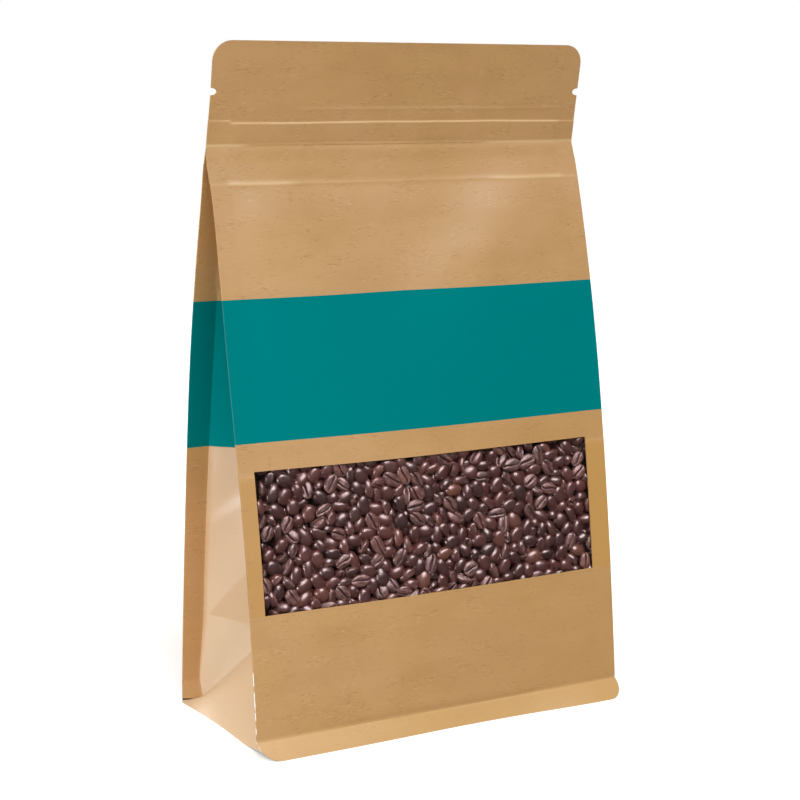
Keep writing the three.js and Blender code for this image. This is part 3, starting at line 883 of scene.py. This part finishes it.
def settle(steps):
    rng = np.random.default_rng(5)
    place = rng.uniform((-ROOM_X + 4, 2, -ROOM_Z + 3), (ROOM_X - 4, HEAP_DEPTH, ROOM_Z - 3), (BEAN_COUNT, 3))
    place[:, 0] *= 1 - 0.011 * place[:, 1]
    turn = rng.normal(size=(BEAN_COUNT, 4))
    turn /= np.linalg.norm(turn, axis=1, keepdims=True)
    radii = BALLS[:, 3]
    reach = radii[:, None] + radii[None, :]
    for step in range(steps):
        pressing = step < 0.75 * steps
        place[:, 1] -= 0.075 if pressing else 0.0
        levers = np.einsum("nij,kj->nki", turn_matrices(turn), BALLS[:, :3])
        centres = place[:, None, :] + levers
        move = np.zeros_like(place)
        spin = np.zeros_like(place)
        gap = np.linalg.norm(place[:, None] - place[None, :], axis=2)
        first, second = np.nonzero(np.triu(gap < 8.0, 1))
        apart = centres[first][:, :, None, :] - centres[second][:, None, :, :]
        distance = np.linalg.norm(apart, axis=3)
        overlap = np.clip(reach - distance, 0, None)
        push = apart * (overlap / np.maximum(distance, 1e-6))[..., None]
        for beans, force in ((first, push.sum(axis=2)), (second, -push.sum(axis=1))):
            np.add.at(move, beans, force.sum(axis=1))
            np.add.at(spin, beans, np.cross(levers[beans], force).sum(axis=1))
        walls = wall_push(centres, radii)
        move += walls.sum(axis=1)
        spin += np.cross(levers, walls).sum(axis=1)
        place += 0.16 * move
        turn = turned(turn, 0.011 * spin)
    return place, turn_matrices(turn), float(overlap.max())


bean_places, bean_turns, worst = settle(180)
print("settled", BEAN_COUNT, "beans, deepest overlap", round(worst, 2), "mm")

# %% [markdown]
# ## The heap behind the film
#
# The settled beans are laid along the front panel, which leans back, and joined into two meshes:
# the beans against the film with full detail, and those deeper in with fewer rings. A plain dark
# slab behind stands for the rest of the filling, which no light reaches. Each bean's own random
# number goes into an attribute, so that the material can roast some darker than others.

# %% Build the heap
NEAR = 6.0  # beans whose middle is nearer the film than this are made in full
DEEP_RINGS = 7
NEAR_RINGS = 12
window_middle = (WINDOW_Z[0] + WINDOW_Z[1]) / 2
sill_depth, lintel_depth = half_depth(np.array(WINDOW_Z))
lean_back = math.atan((sill_depth - lintel_depth) / (WINDOW_Z[1] - WINDOW_Z[0]))
LEAN_TURN = np.array(
    [
        (1, 0, 0),
        (0, math.cos(lean_back), math.sin(lean_back)),
        (0, -math.sin(lean_back), math.cos(lean_back)),
    ]
)


def film_back(x, z):
    """y just behind the film, which the beans may touch."""
    return film_front(x, z) + FILM + 0.2


def squeezed(points):
    """The beans at the sides and the front lie flat against the gussets' paper and the film."""
    x, y, z = points.T
    deep = y + half_depth(z)
    slope = (FIN_INNER["front"] - FIN_INNER["back"] + valley(z)) / (half_depth(z) - 1.3)
    wall = FIN_INNER["front"] - 0.9 - slope * np.clip(deep - 0.9, 0, None)
    return np.stack([np.clip(x, -wall, wall), np.maximum(y, film_back(x, z)), z], axis=-1)


def heap(name, chosen, rings, seed):
    rng = np.random.default_rng(seed)
    vertices, faces, masks, tone, grain, start = [], [], [], [], [], 0
    for place, turn in zip(bean_places[chosen], bean_turns[chosen]):
        own, quads, fans, marks = bean_mesh(rings, rng)
        if turn[1, 2] > 0.4 and rng.uniform() < 0.4:  # too many would show their faces
            own = own * (1, -1, -1) + (0, 0, BEAN["dome"] - BEAN["face"])
        middle = LEAN_TURN @ place
        at = np.array([middle[0], 0, middle[2] + window_middle])
        at[1] = film_back(at[0], at[2]) + place[1]
        vertices.append(squeezed(own @ (LEAN_TURN @ turn).T + at))
        faces += (quads + start).tolist() + [(a + start, b + start, c + start) for a, b, c in fans]
        masks.append(marks)
        tone.append(np.full(len(own), rng.uniform()))
        grain.append(own * MM + rng.uniform(0, 3, 3))
        start += len(own)
    piece = add_mesh(name, np.concatenate(vertices), faces)
    paint(piece, "crease", np.concatenate(masks)[:, 0])
    paint(piece, "flat_side", np.concatenate(masks)[:, 1])
    paint(piece, "tone", np.concatenate(tone))
    paint(piece, "grain", np.concatenate(grain))
    shade(piece, 75)
    triangles = sum(len(face.vertices) - 2 for face in piece.data.polygons)
    print(name, int(chosen.sum()), "beans,", triangles, "triangles")
    return piece


near = bean_places[:, 1] < NEAR
beans_near = heap("beans_near", near, NEAR_RINGS, 31)
beans_deep = heap("beans_deep", ~near & (bean_places[:, 1] < HEAP_DEPTH), DEEP_RINGS, 32)


def core_points():
    x, z = np.meshgrid(np.linspace(-58, 58, 40), np.linspace(WINDOW_Z[0] - 3.4, WINDOW_Z[1] + 3.4, 20))
    lumps = 0.8 * np.sin(x / 2.1 + np.sin(z / 3)) * np.sin(z / 2.3)
    return np.stack([x, film_back(x, z) + 10.5 + lumps, z], axis=-1)


beans_core = sheet("beans_core", core_points(), thickness=1.5, plain=True)
print("core is", round(math.degrees(lean_back), 1), "degrees off upright")

# %% [markdown]
# ## Node groups
#
# Kraft paper is on every sheet, so its fibres are one node group that each paper material uses
# with its own values. A group here gives only colours, masks and heights. The shader itself stays
# in the material. Noise stretched along the fibres makes the streaks, and small
# flattened cells make the flecks of bark that unbleached pulp always has.

# %% Make the group helpers
def new_group(name, inputs, outputs):
    group = bpy.data.node_groups.new(name, "ShaderNodeTree")
    for label, kind, value in inputs:
        socket = group.interface.new_socket(label, in_out="INPUT", socket_type=kind)
        socket.default_value = value
    for label, kind in outputs:
        group.interface.new_socket(label, in_out="OUTPUT", socket_type=kind)
    return group, group.nodes.new("NodeGroupInput"), group.nodes.new("NodeGroupOutput")


def linear(red, green, blue):
    """A colour picked as 0 to 255 on a screen, as the linear values that shaders use."""
    def channel(value):
        value /= 255
        return value / 12.92 if value <= 0.04045 else ((value + 0.055) / 1.055) ** 2.4

    return (channel(red), channel(green), channel(blue), 1)


def math_node(tree, operation, first, second=None, clamp=False):
    node = tree.nodes.new("ShaderNodeMath")
    node.operation = operation
    node.use_clamp = clamp
    for socket, value in zip(node.inputs, (first, second)):
        if value is None:
            continue
        if isinstance(value, (int, float)):
            socket.default_value = value
        else:
            tree.links.new(value, socket)
    return node.outputs[0]


def times(tree, first, second, clamp=False):
    return math_node(tree, "MULTIPLY", first, second, clamp)


def plus(tree, first, second):
    return math_node(tree, "ADD", first, second)


def mix_colours(tree, factor, first, second):
    node = tree.nodes.new("ShaderNodeMix")
    node.data_type = "RGBA"
    sockets = (node.inputs["Factor"], node.inputs[6], node.inputs[7])
    for socket, value in zip(sockets, (factor, first, second)):
        if isinstance(value, (int, float, tuple)):
            socket.default_value = value
        else:
            tree.links.new(value, socket)
    return node.outputs[2]


def ramp(tree, value, start, end):
    """A value rescaled so that start becomes 0 and end becomes 1, with soft ends."""
    node = tree.nodes.new("ShaderNodeMapRange")
    node.interpolation_type = "SMOOTHSTEP"
    node.inputs["From Min"].default_value = start
    node.inputs["From Max"].default_value = end
    tree.links.new(value, node.inputs["Value"])
    return node.outputs["Result"]


def noise(tree, vector, scale, detail=3.0, roughness=0.55):
    node = tree.nodes.new("ShaderNodeTexNoise")
    node.inputs["Scale"].default_value = scale
    node.inputs["Detail"].default_value = detail
    node.inputs["Roughness"].default_value = roughness
    tree.links.new(vector, node.inputs["Vector"])
    return node.outputs["Fac"]


def stretched(tree, vector, scale):
    node = tree.nodes.new("ShaderNodeMapping")
    node.inputs["Scale"].default_value = scale
    tree.links.new(vector, node.inputs["Vector"])
    return node.outputs["Vector"]


# %% Build the kraft fibre group
KRAFT_BASE = linear(194, 149, 93)


def kraft_fibre_group():
    group, inlet, outlet = new_group(
        "Kraft Fibre",
        [
            ("Vector", "NodeSocketVector", (0, 0, 0)),
            ("Base", "NodeSocketColor", KRAFT_BASE),
            ("Streaks", "NodeSocketFloat", 0.5),
            ("Flecks", "NodeSocketFloat", 0.5),
        ],
        [("Color", "NodeSocketColor"), ("Height", "NodeSocketFloat"), ("Rough", "NodeSocketFloat")],
    )
    vector = inlet.outputs["Vector"]
    fine = noise(group, stretched(group, vector, (380, 380, 2400)), 1.0, 5, 0.65)
    broad = noise(group, stretched(group, vector, (34, 34, 90)), 1.0, 3)
    cloud = noise(group, vector, 26, 2)
    hairs = noise(group, stretched(group, vector, (420, 420, 2500)), 1.0, 2, 0.5)
    tufts = ramp(group, noise(group, stretched(group, vector, (110, 110, 190)), 1.0, 2), 0.42, 0.66)
    light_hair = times(group, ramp(group, hairs, 0.56, 0.72), tufts)
    dark_hair = times(group, ramp(group, hairs, 0.44, 0.28), tufts)
    flecks = group.nodes.new("ShaderNodeTexVoronoi")
    flecks.inputs["Scale"].default_value = 1.0
    group.links.new(stretched(group, vector, (300, 300, 900)), flecks.inputs["Vector"])
    sparse = ramp(group, noise(group, vector, 300, 1), 0.5, 0.62)
    fleck_mask = times(group, ramp(group, flecks.outputs["Distance"], 0.22, 0.05), sparse)
    fleck_mask = math_node(group, "MAXIMUM", fleck_mask, dark_hair)
    fleck_mask = times(group, fleck_mask, inlet.outputs["Flecks"])
    streak = times(group, ramp(group, fine, 0.25, 0.75), inlet.outputs["Streaks"])
    patches = times(group, ramp(group, broad, 0.34, 0.66), 0.5)
    lighter = mix_colours(group, streak, inlet.outputs["Base"], linear(206, 163, 108))
    patched = mix_colours(group, patches, lighter, linear(184, 139, 84))
    clouds = times(group, ramp(group, cloud, 0.38, 0.62), 0.45)
    clouded = mix_colours(group, clouds, patched, linear(200, 154, 106))
    hairs_seen = times(group, light_hair, 0.35)
    haired = mix_colours(group, hairs_seen, clouded, linear(222, 184, 134))
    flecked = mix_colours(group, fleck_mask, haired, linear(128, 90, 52))
    group.links.new(flecked, outlet.inputs["Color"])
    height = plus(group, fine, times(group, light_hair, 0.7))
    group.links.new(height, outlet.inputs["Height"])
    rough = plus(group, 0.5, times(group, fine, 0.16))
    group.links.new(rough, outlet.inputs["Rough"])
    return group


KRAFT_FIBRE = kraft_fibre_group()
print("group", KRAFT_FIBRE.name, "has", len(KRAFT_FIBRE.nodes), "nodes")

# %% [markdown]
# ## The printed band
#
# The band is printed straight onto the paper with an even, opaque ink. It is level on the panels,
# lower at the back than at the front, and slopes between the two on the gussets' front halves. So
# each sheet stores the height that its print goes by, and one mask of that height draws the band
# on every sheet. The ink creeps a hair along the fibres, which a little fine noise imitates.

# %% Build the band group
def band_group():
    group, inlet, outlet = new_group(
        "Level Band",
        [
            ("Vector", "NodeSocketVector", (0, 0, 0)),
            ("Height", "NodeSocketFloat", 0.0),
            ("Bottom", "NodeSocketFloat", BAND[0] * MM),
            ("Top", "NodeSocketFloat", BAND[1] * MM),
            ("Creep", "NodeSocketFloat", 0.0001),
        ],
        [("Mask", "NodeSocketFloat")],
    )
    creep = math_node(group, "SUBTRACT", noise(group, inlet.outputs["Vector"], 2500, 2), 0.5)
    creep = times(group, creep, inlet.outputs["Creep"])
    height = plus(group, inlet.outputs["Height"], creep)
    above = math_node(group, "GREATER_THAN", height, inlet.outputs["Bottom"])
    below = math_node(group, "LESS_THAN", height, inlet.outputs["Top"])
    group.links.new(times(group, above, below), outlet.inputs["Mask"])
    return group


LEVEL_BAND = band_group()
print("band from", BAND[0], "to", BAND[1], "mm")

# %% [markdown]
# ## Paper, cut edge, film and beans
#
# Four finishes cover the pouch. Laminated kraft has a faint sheen under its matt tooth. On the gussets
# it is painted pale as a sheen, along its folds a paler line is a painted highlight, and it is a little
# warmer and deeper towards the right, painted as less sheen there. Its cut edge shows the pale layer
# inside, and is whiter in patches beside the foot. The film is clear and glossy: a plain Alpha lets the
# light pass, where real refraction would only darken beans that touch the film. Roasted beans are dark
# reddish brown with an oily gloss, broken up by fine wrinkles, their creases painted dark as shade.

# %% Make the paper materials
def new_material(name):
    material = bpy.data.materials.new(name)
    material.use_nodes = True
    tree = material.node_tree
    return material, tree, tree.nodes["Principled BSDF"]


def object_vector(tree):
    return tree.nodes.new("ShaderNodeTexCoord").outputs["Object"]


def attribute(tree, name, output="Fac"):
    node = tree.nodes.new("ShaderNodeAttribute")
    node.attribute_name = name
    return node.outputs[output]


def coordinates(tree, vector):
    node = tree.nodes.new("ShaderNodeSeparateXYZ")
    tree.links.new(vector, node.inputs["Vector"])
    return node.outputs


def bump_from(tree, height, strength, distance):
    node = tree.nodes.new("ShaderNodeBump")
    node.inputs["Strength"].default_value = strength
    node.inputs["Distance"].default_value = distance
    tree.links.new(height, node.inputs["Height"])
    return node.outputs["Normal"]


def add_group(tree, group, vector, **values):
    node = tree.nodes.new("ShaderNodeGroup")
    node.node_tree = group
    tree.links.new(vector, node.inputs["Vector"])
    for label, value in values.items():
        node.inputs[label].default_value = value
    return node


# The first colour below is a painted sheen: the pale, pinkish colour that the gussets are mixed towards where
# the light glances off them.
SHEEN_PALE = linear(221, 196, 164)
INK = linear(0, 122, 123)
THIN_INK = linear(0, 129, 130)
STRIP_TINT = linear(198, 147, 74)
LESS_SHEEN_KRAFT = linear(188, 138, 72)  # painted shade: the kraft is deeper towards the pouch's right, where less sheen falls


def band_mask(tree, vector, **edges):
    node = add_group(tree, LEVEL_BAND, vector, **edges)
    tree.links.new(attribute(tree, "belt"), node.inputs["Height"])
    return node.outputs["Mask"]


def kraft_paper(name, strip=False, printed=False):
    """The laminate. strip tints the paper that the window's film lies behind, printed adds the ink."""
    material, tree, shader = new_material(name)
    vector = object_vector(tree)
    fibre = add_group(tree, KRAFT_FIBRE, vector, Base=KRAFT_BASE, Streaks=0.45, Flecks=0.4)
    colour = fibre.outputs["Color"]
    if strip:
        behind = band_mask(tree, vector, Bottom=STRIP_Z[0] * MM, Top=STRIP_Z[1] * MM)
        place = coordinates(tree, vector)
        # painted shade: towards the right of the panel's lower part the paper is mixed deeper, as less sheen
        # falls there, and the strip's tint is made stronger too
        less_sheen_right = ramp(tree, place["X"], -0.06, 0.08)
        less_sheen_right = times(tree, less_sheen_right, ramp(tree, place["Z"], 0.18, 0.11))
        colour = mix_colours(tree, times(tree, less_sheen_right, 0.3), colour, LESS_SHEEN_KRAFT)
        stronger = plus(tree, 0.4, times(tree, less_sheen_right, 0.3))
        colour = mix_colours(tree, times(tree, behind, stronger), colour, STRIP_TINT)
        # painted highlight: the base seal below the seam is mixed towards a lighter, slightly yellower kraft,
        # where the flared seal catches the light from above
        seal_highlight = times(tree, ramp(tree, attribute(tree, "belt"), 0.0085, 0.0065), 0.35)
        colour = mix_colours(tree, seal_highlight, colour, linear(212, 166, 92))
    # painted sheen: the gussets are mixed towards a pale colour where the light glances off them
    painted_sheen = times(tree, attribute(tree, "pale"), 0.76)
    colour = mix_colours(tree, painted_sheen, colour, SHEEN_PALE)
    # painted highlight: a paler line along the folds and ridges, where the light catches them
    painted_fold_highlight = times(tree, attribute(tree, "fold_highlight"), 0.62, clamp=True)
    colour = mix_colours(tree, painted_fold_highlight, colour, linear(232, 196, 146))
    if printed:
        uneven = times(tree, fibre.outputs["Rough"], 0.4)
        ink = mix_colours(tree, uneven, INK, THIN_INK)
        colour = mix_colours(tree, band_mask(tree, vector), colour, ink)
    tree.links.new(colour, shader.inputs["Base Color"])
    tree.links.new(fibre.outputs["Rough"], shader.inputs["Roughness"])
    tree.links.new(bump_from(tree, fibre.outputs["Height"], 0.22, 0.0002), shader.inputs["Normal"])
    shader.inputs["Specular IOR Level"].default_value = 0.0 if printed else 0.35
    shader.inputs["Coat Weight"].default_value = 0.0 if printed else 0.5
    shader.inputs["Coat Roughness"].default_value = 0.3
    return material


KRAFT = kraft_paper("kraft_paper")
KRAFT_WINDOW = kraft_paper("kraft_paper_window_side", strip=True)
PRINTED_KRAFT = kraft_paper("kraft_paper_printed", printed=True)


def cut_edge_material():
    material, tree, shader = new_material("cut_paper_edge")
    vector = object_vector(tree)
    fibre = add_group(tree, KRAFT_FIBRE, vector, Base=linear(198, 156, 104), Streaks=0.3, Flecks=0.2)
    belt = attribute(tree, "belt")
    # The cut edge is mixed towards white on the front, between about 3 and 40 mm up, in patches.
    whiter_near_foot = times(tree, ramp(tree, belt, 0.040, 0.032), ramp(tree, belt, 0.003, 0.006))
    whiter_near_foot = times(tree, whiter_near_foot, ramp(tree, noise(tree, vector, 260, 2), 0.42, 0.54))
    in_front = math_node(tree, "LESS_THAN", coordinates(tree, vector)["Y"], -0.02)
    whiter_near_foot = times(tree, whiter_near_foot, in_front)
    pale = mix_colours(tree, whiter_near_foot, fibre.outputs["Color"], linear(252, 248, 238))
    tree.links.new(mix_colours(tree, band_mask(tree, vector), pale, INK), shader.inputs["Base Color"])
    shader.inputs["Roughness"].default_value = 0.8
    return material


def shaded_inside_material():
    """The laminate's inner face, which only shows in the gaps behind the window, painted near-black as the
    shade in there.
    """
    material, tree, shader = new_material("laminate_inside_shaded")
    vector = object_vector(tree)
    fibre = add_group(tree, KRAFT_FIBRE, vector, Base=linear(44, 30, 22), Streaks=0.2, Flecks=0.2)
    dark = mix_colours(tree, 0.5, fibre.outputs["Color"], linear(36, 25, 18))
    tree.links.new(dark, shader.inputs["Base Color"])
    shader.inputs["Roughness"].default_value = 0.5
    return material


CUT_EDGE = cut_edge_material()
SHADED_INSIDE = shaded_inside_material()

# %% Make the film material
film_material, film_tree, film_shader = new_material("clear_film")
film_shader.inputs["Base Color"].default_value = (0.1, 0.1, 0.1, 1)
film_shader.inputs["Alpha"].default_value = 0.012
ripple = noise(film_tree, object_vector(film_tree), 60, 2)
film_tree.links.new(times(film_tree, ripple, 0.3), film_shader.inputs["Roughness"])

# %% Make the bean materials
def roasted(name, dark, middling, light, gloss, tooth):
    """Every bean is somewhere between dark and middling, and a few are roasted lighter."""
    material, tree, shader = new_material(name)
    vector = attribute(tree, "grain", "Vector")
    tone, groove, flat_side = (attribute(tree, mark) for mark in ("tone", "crease", "flat_side"))
    mottle = noise(tree, vector, 700, 4, 0.6)
    wrinkle = noise(tree, stretched(tree, vector, (420, 1100, 1100)), 1.0, 3, 0.6)
    colour = mix_colours(tree, tone, dark, middling)
    colour = mix_colours(tree, math_node(tree, "POWER", tone, 26.0), colour, light)
    paler = times(tree, ramp(tree, mottle, 0.45, 0.75), 0.25)
    colour = mix_colours(tree, paler, colour, linear(92, 50, 46))
    # The face is mixed a little lighter, and the tops of its wrinkles much lighter, a painted highlight.
    face_tone_and_ridge_highlight = plus(tree, times(tree, ramp(tree, wrinkle, 0.42, 0.64), 0.6), 0.06)
    face_tone_and_ridge_highlight = times(tree, flat_side, face_tone_and_ridge_highlight)
    colour = mix_colours(tree, face_tone_and_ridge_highlight, colour, linear(162, 110, 100))
    # painted shade: the crease and the valleys of the face's wrinkles are darkened nearly to black
    crease_shade = times(tree, flat_side, ramp(tree, wrinkle, 0.42, 0.3))
    crease_shade = math_node(tree, "MAXIMUM", times(tree, crease_shade, 0.4), groove)
    colour = mix_colours(tree, times(tree, crease_shade, 0.9, clamp=True), colour, linear(20, 4, 3))
    tree.links.new(colour, shader.inputs["Base Color"])
    rough = plus(tree, tooth, times(tree, mottle, 0.15))
    rough = plus(tree, rough, times(tree, flat_side, 0.08))
    tree.links.new(rough, shader.inputs["Roughness"])
    folds = times(tree, wrinkle, times(tree, flat_side, 2.0))
    height = plus(tree, times(tree, mottle, 0.6), folds)
    tree.links.new(bump_from(tree, height, 0.4, 0.0003), shader.inputs["Normal"])
    shader.inputs["IOR"].default_value = 2.0
    shader.inputs["Specular IOR Level"].default_value = gloss
    shader.inputs["Specular Tint"].default_value = linear(255, 222, 216)
    return material


ROAST_COLOURS = linear(46, 14, 12), linear(94, 44, 38), linear(126, 74, 54)  # dark, middling, light
# SHADE is painted shade: a darker copy of the bean material, for the beans deeper in and the slab behind
# them.
SHADE_COLOURS = linear(34, 7, 4), linear(42, 10, 7), linear(44, 14, 9)
ROAST = roasted("roasted_bean", *ROAST_COLOURS, gloss=1.0, tooth=0.29)
SHADE = roasted("bean_in_the_dark", *SHADE_COLOURS, gloss=0.1, tooth=0.5)

# %% [markdown]
# ## Dress the pieces
#
# Every sheet gets the paper on its faces and the cut edge on its rim, in the order of the
# material slots that the sheet helper used. The solid that each piece stands for is hidden, and
# the piece rides on the pouch's one body.

# %% Hand out the materials
for piece, paper in (
    (front_panel, KRAFT_WINDOW),
    (back_panel, KRAFT),
    (gusset_left, KRAFT),
    (gusset_right, KRAFT),
    (base_panel, KRAFT),
):
    for finish in (paper, CUT_EDGE, SHADED_INSIDE, PRINTED_KRAFT):
        piece.data.materials.append(finish)
    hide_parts("pouch")
window_film.data.materials.append(film_material)
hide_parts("window_film")
for piece, finish in ((beans_near, ROAST), (beans_deep, SHADE), (beans_core, SHADE)):
    piece.data.materials.append(finish)
    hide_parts("beans")
sheets = (front_panel, back_panel, gusset_left, gusset_right, base_panel, window_film)
for piece in (*sheets, beans_near, beans_deep, beans_core):
    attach(piece, "root")

# %% [markdown]
# ## The studio
#
# The pouch stands on a plain white sweep. A broad light high in front brightens the leaning panel
# more than the header, a low strip on the left lights the gusset's foot, and a box behind lights
# the back. A warm world does the work of a light tent. Glossy rays find the tent and the floor much
# dimmer than they look, as a bright one lays a grey haze over the beans.

# %% Light the scene
def add_light(name, kind, strength, colour):
    data = bpy.data.lights.new(name, kind)
    data.energy, data.color = strength, colour
    light = bpy.data.objects.new(name, data)
    bpy.context.collection.objects.link(light)
    return light


def soft_box(name, place, aim, width, watts, colour, height=None):
    light = add_light(name, "AREA", watts, colour)
    light.data.shape = "RECTANGLE"
    light.data.size, light.data.size_y = width, height or width
    light.location = place
    light.rotation_euler = (Vector(aim) - Vector(place)).to_track_quat("-Z", "Y").to_euler()


def sun(name, azimuth, elevation, spread, strength, colour):
    """A broad, distant light. Its azimuth is in degrees to the right of the front panel's middle."""
    light = add_light(name, "SUN", strength, colour)
    light.data.angle = math.radians(spread)
    light.rotation_euler = (math.radians(90 - elevation), 0, math.radians(azimuth))


COOL = (0.94, 1.0, 1.07)
WARM = (1.0, 0.93, 0.82)
FILL = 0.3  # strength of the world's light
GLOSSY_DIMMING = 0.27  # how much less of it glossy rays find
FLOOR_BOUNCE = (0.45, 0.4, 0.34, 1)
FLOOR_IN_GLOSS = (0.05, 0.045, 0.04, 1)
FLOOR_SEEN = (1.0, 0.985, 0.965, 1)
sun("high_key", 4, 48, 40, 2.5, COOL)
soft_box("low_strip", (-0.5, -0.09, 0.06), (0, -0.01, 0.05), 0.2, 1.3, (0.95, 1.0, 1.1), height=0.08)
soft_box("back_box", (-0.6, 0.9, 0.8), (0, 0, 0.02), 0.5, 7.0, (1.0, 1.0, 1.0))

world = bpy.data.worlds.new("light_tent")
world.use_nodes = True
tent = world.node_tree
rays = tent.nodes.new("ShaderNodeLightPath")
seen, mirrored = rays.outputs["Is Camera Ray"], rays.outputs["Is Glossy Ray"]
dimmed = math_node(tent, "SUBTRACT", FILL, times(tent, mirrored, GLOSSY_DIMMING))
background = tent.nodes["Background"].inputs
tent.links.new(math_node(tent, "MAXIMUM", seen, dimmed), background["Strength"])
tent.links.new(mix_colours(tent, seen, (*WARM, 1), (1, 1, 1, 1)), background["Color"])
bpy.context.scene.world = world
bpy.context.scene.view_settings.view_transform = "Standard"

floor_mesh = bpy.data.meshes.new("floor")
floor_mesh.from_pydata([(-6, -6, 0), (6, -6, 0), (6, 6, 0), (-6, 6, 0)], [], [(0, 1, 2, 3)])
floor = bpy.data.objects.new("floor", floor_mesh)
bpy.context.collection.objects.link(floor)
floor_material, floor_tree, floor_shader = new_material("white_floor")
floor_rays = floor_tree.nodes.new("ShaderNodeLightPath")
looked_at, in_gloss = floor_rays.outputs["Is Camera Ray"], floor_rays.outputs["Is Glossy Ray"]
bounce = mix_colours(floor_tree, in_gloss, FLOOR_BOUNCE, FLOOR_IN_GLOSS)
bounce = mix_colours(floor_tree, looked_at, bounce, FLOOR_SEEN)
floor_tree.links.new(bounce, floor_shader.inputs["Base Color"])
floor_shader.inputs["Roughness"].default_value = 0.9
floor_shader.inputs["Emission Color"].default_value = (1, 1, 1, 1)
floor_tree.links.new(times(floor_tree, looked_at, 0.3), floor_shader.inputs["Emission Strength"])
floor_mesh.materials.append(floor_material)
floor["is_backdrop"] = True

# %% [markdown]
# ## The sizes
#
# The dressed pouch must stay the size of its solid, so both boxes are printed to compare.

# %% Print the sizes
visual_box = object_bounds()
for label, (lowest, highest) in (("cad", CAD_BOX), ("visual", visual_box)):
    print(label, [round(v / MM, 1) for v in lowest], [round(v / MM, 1) for v in highest])
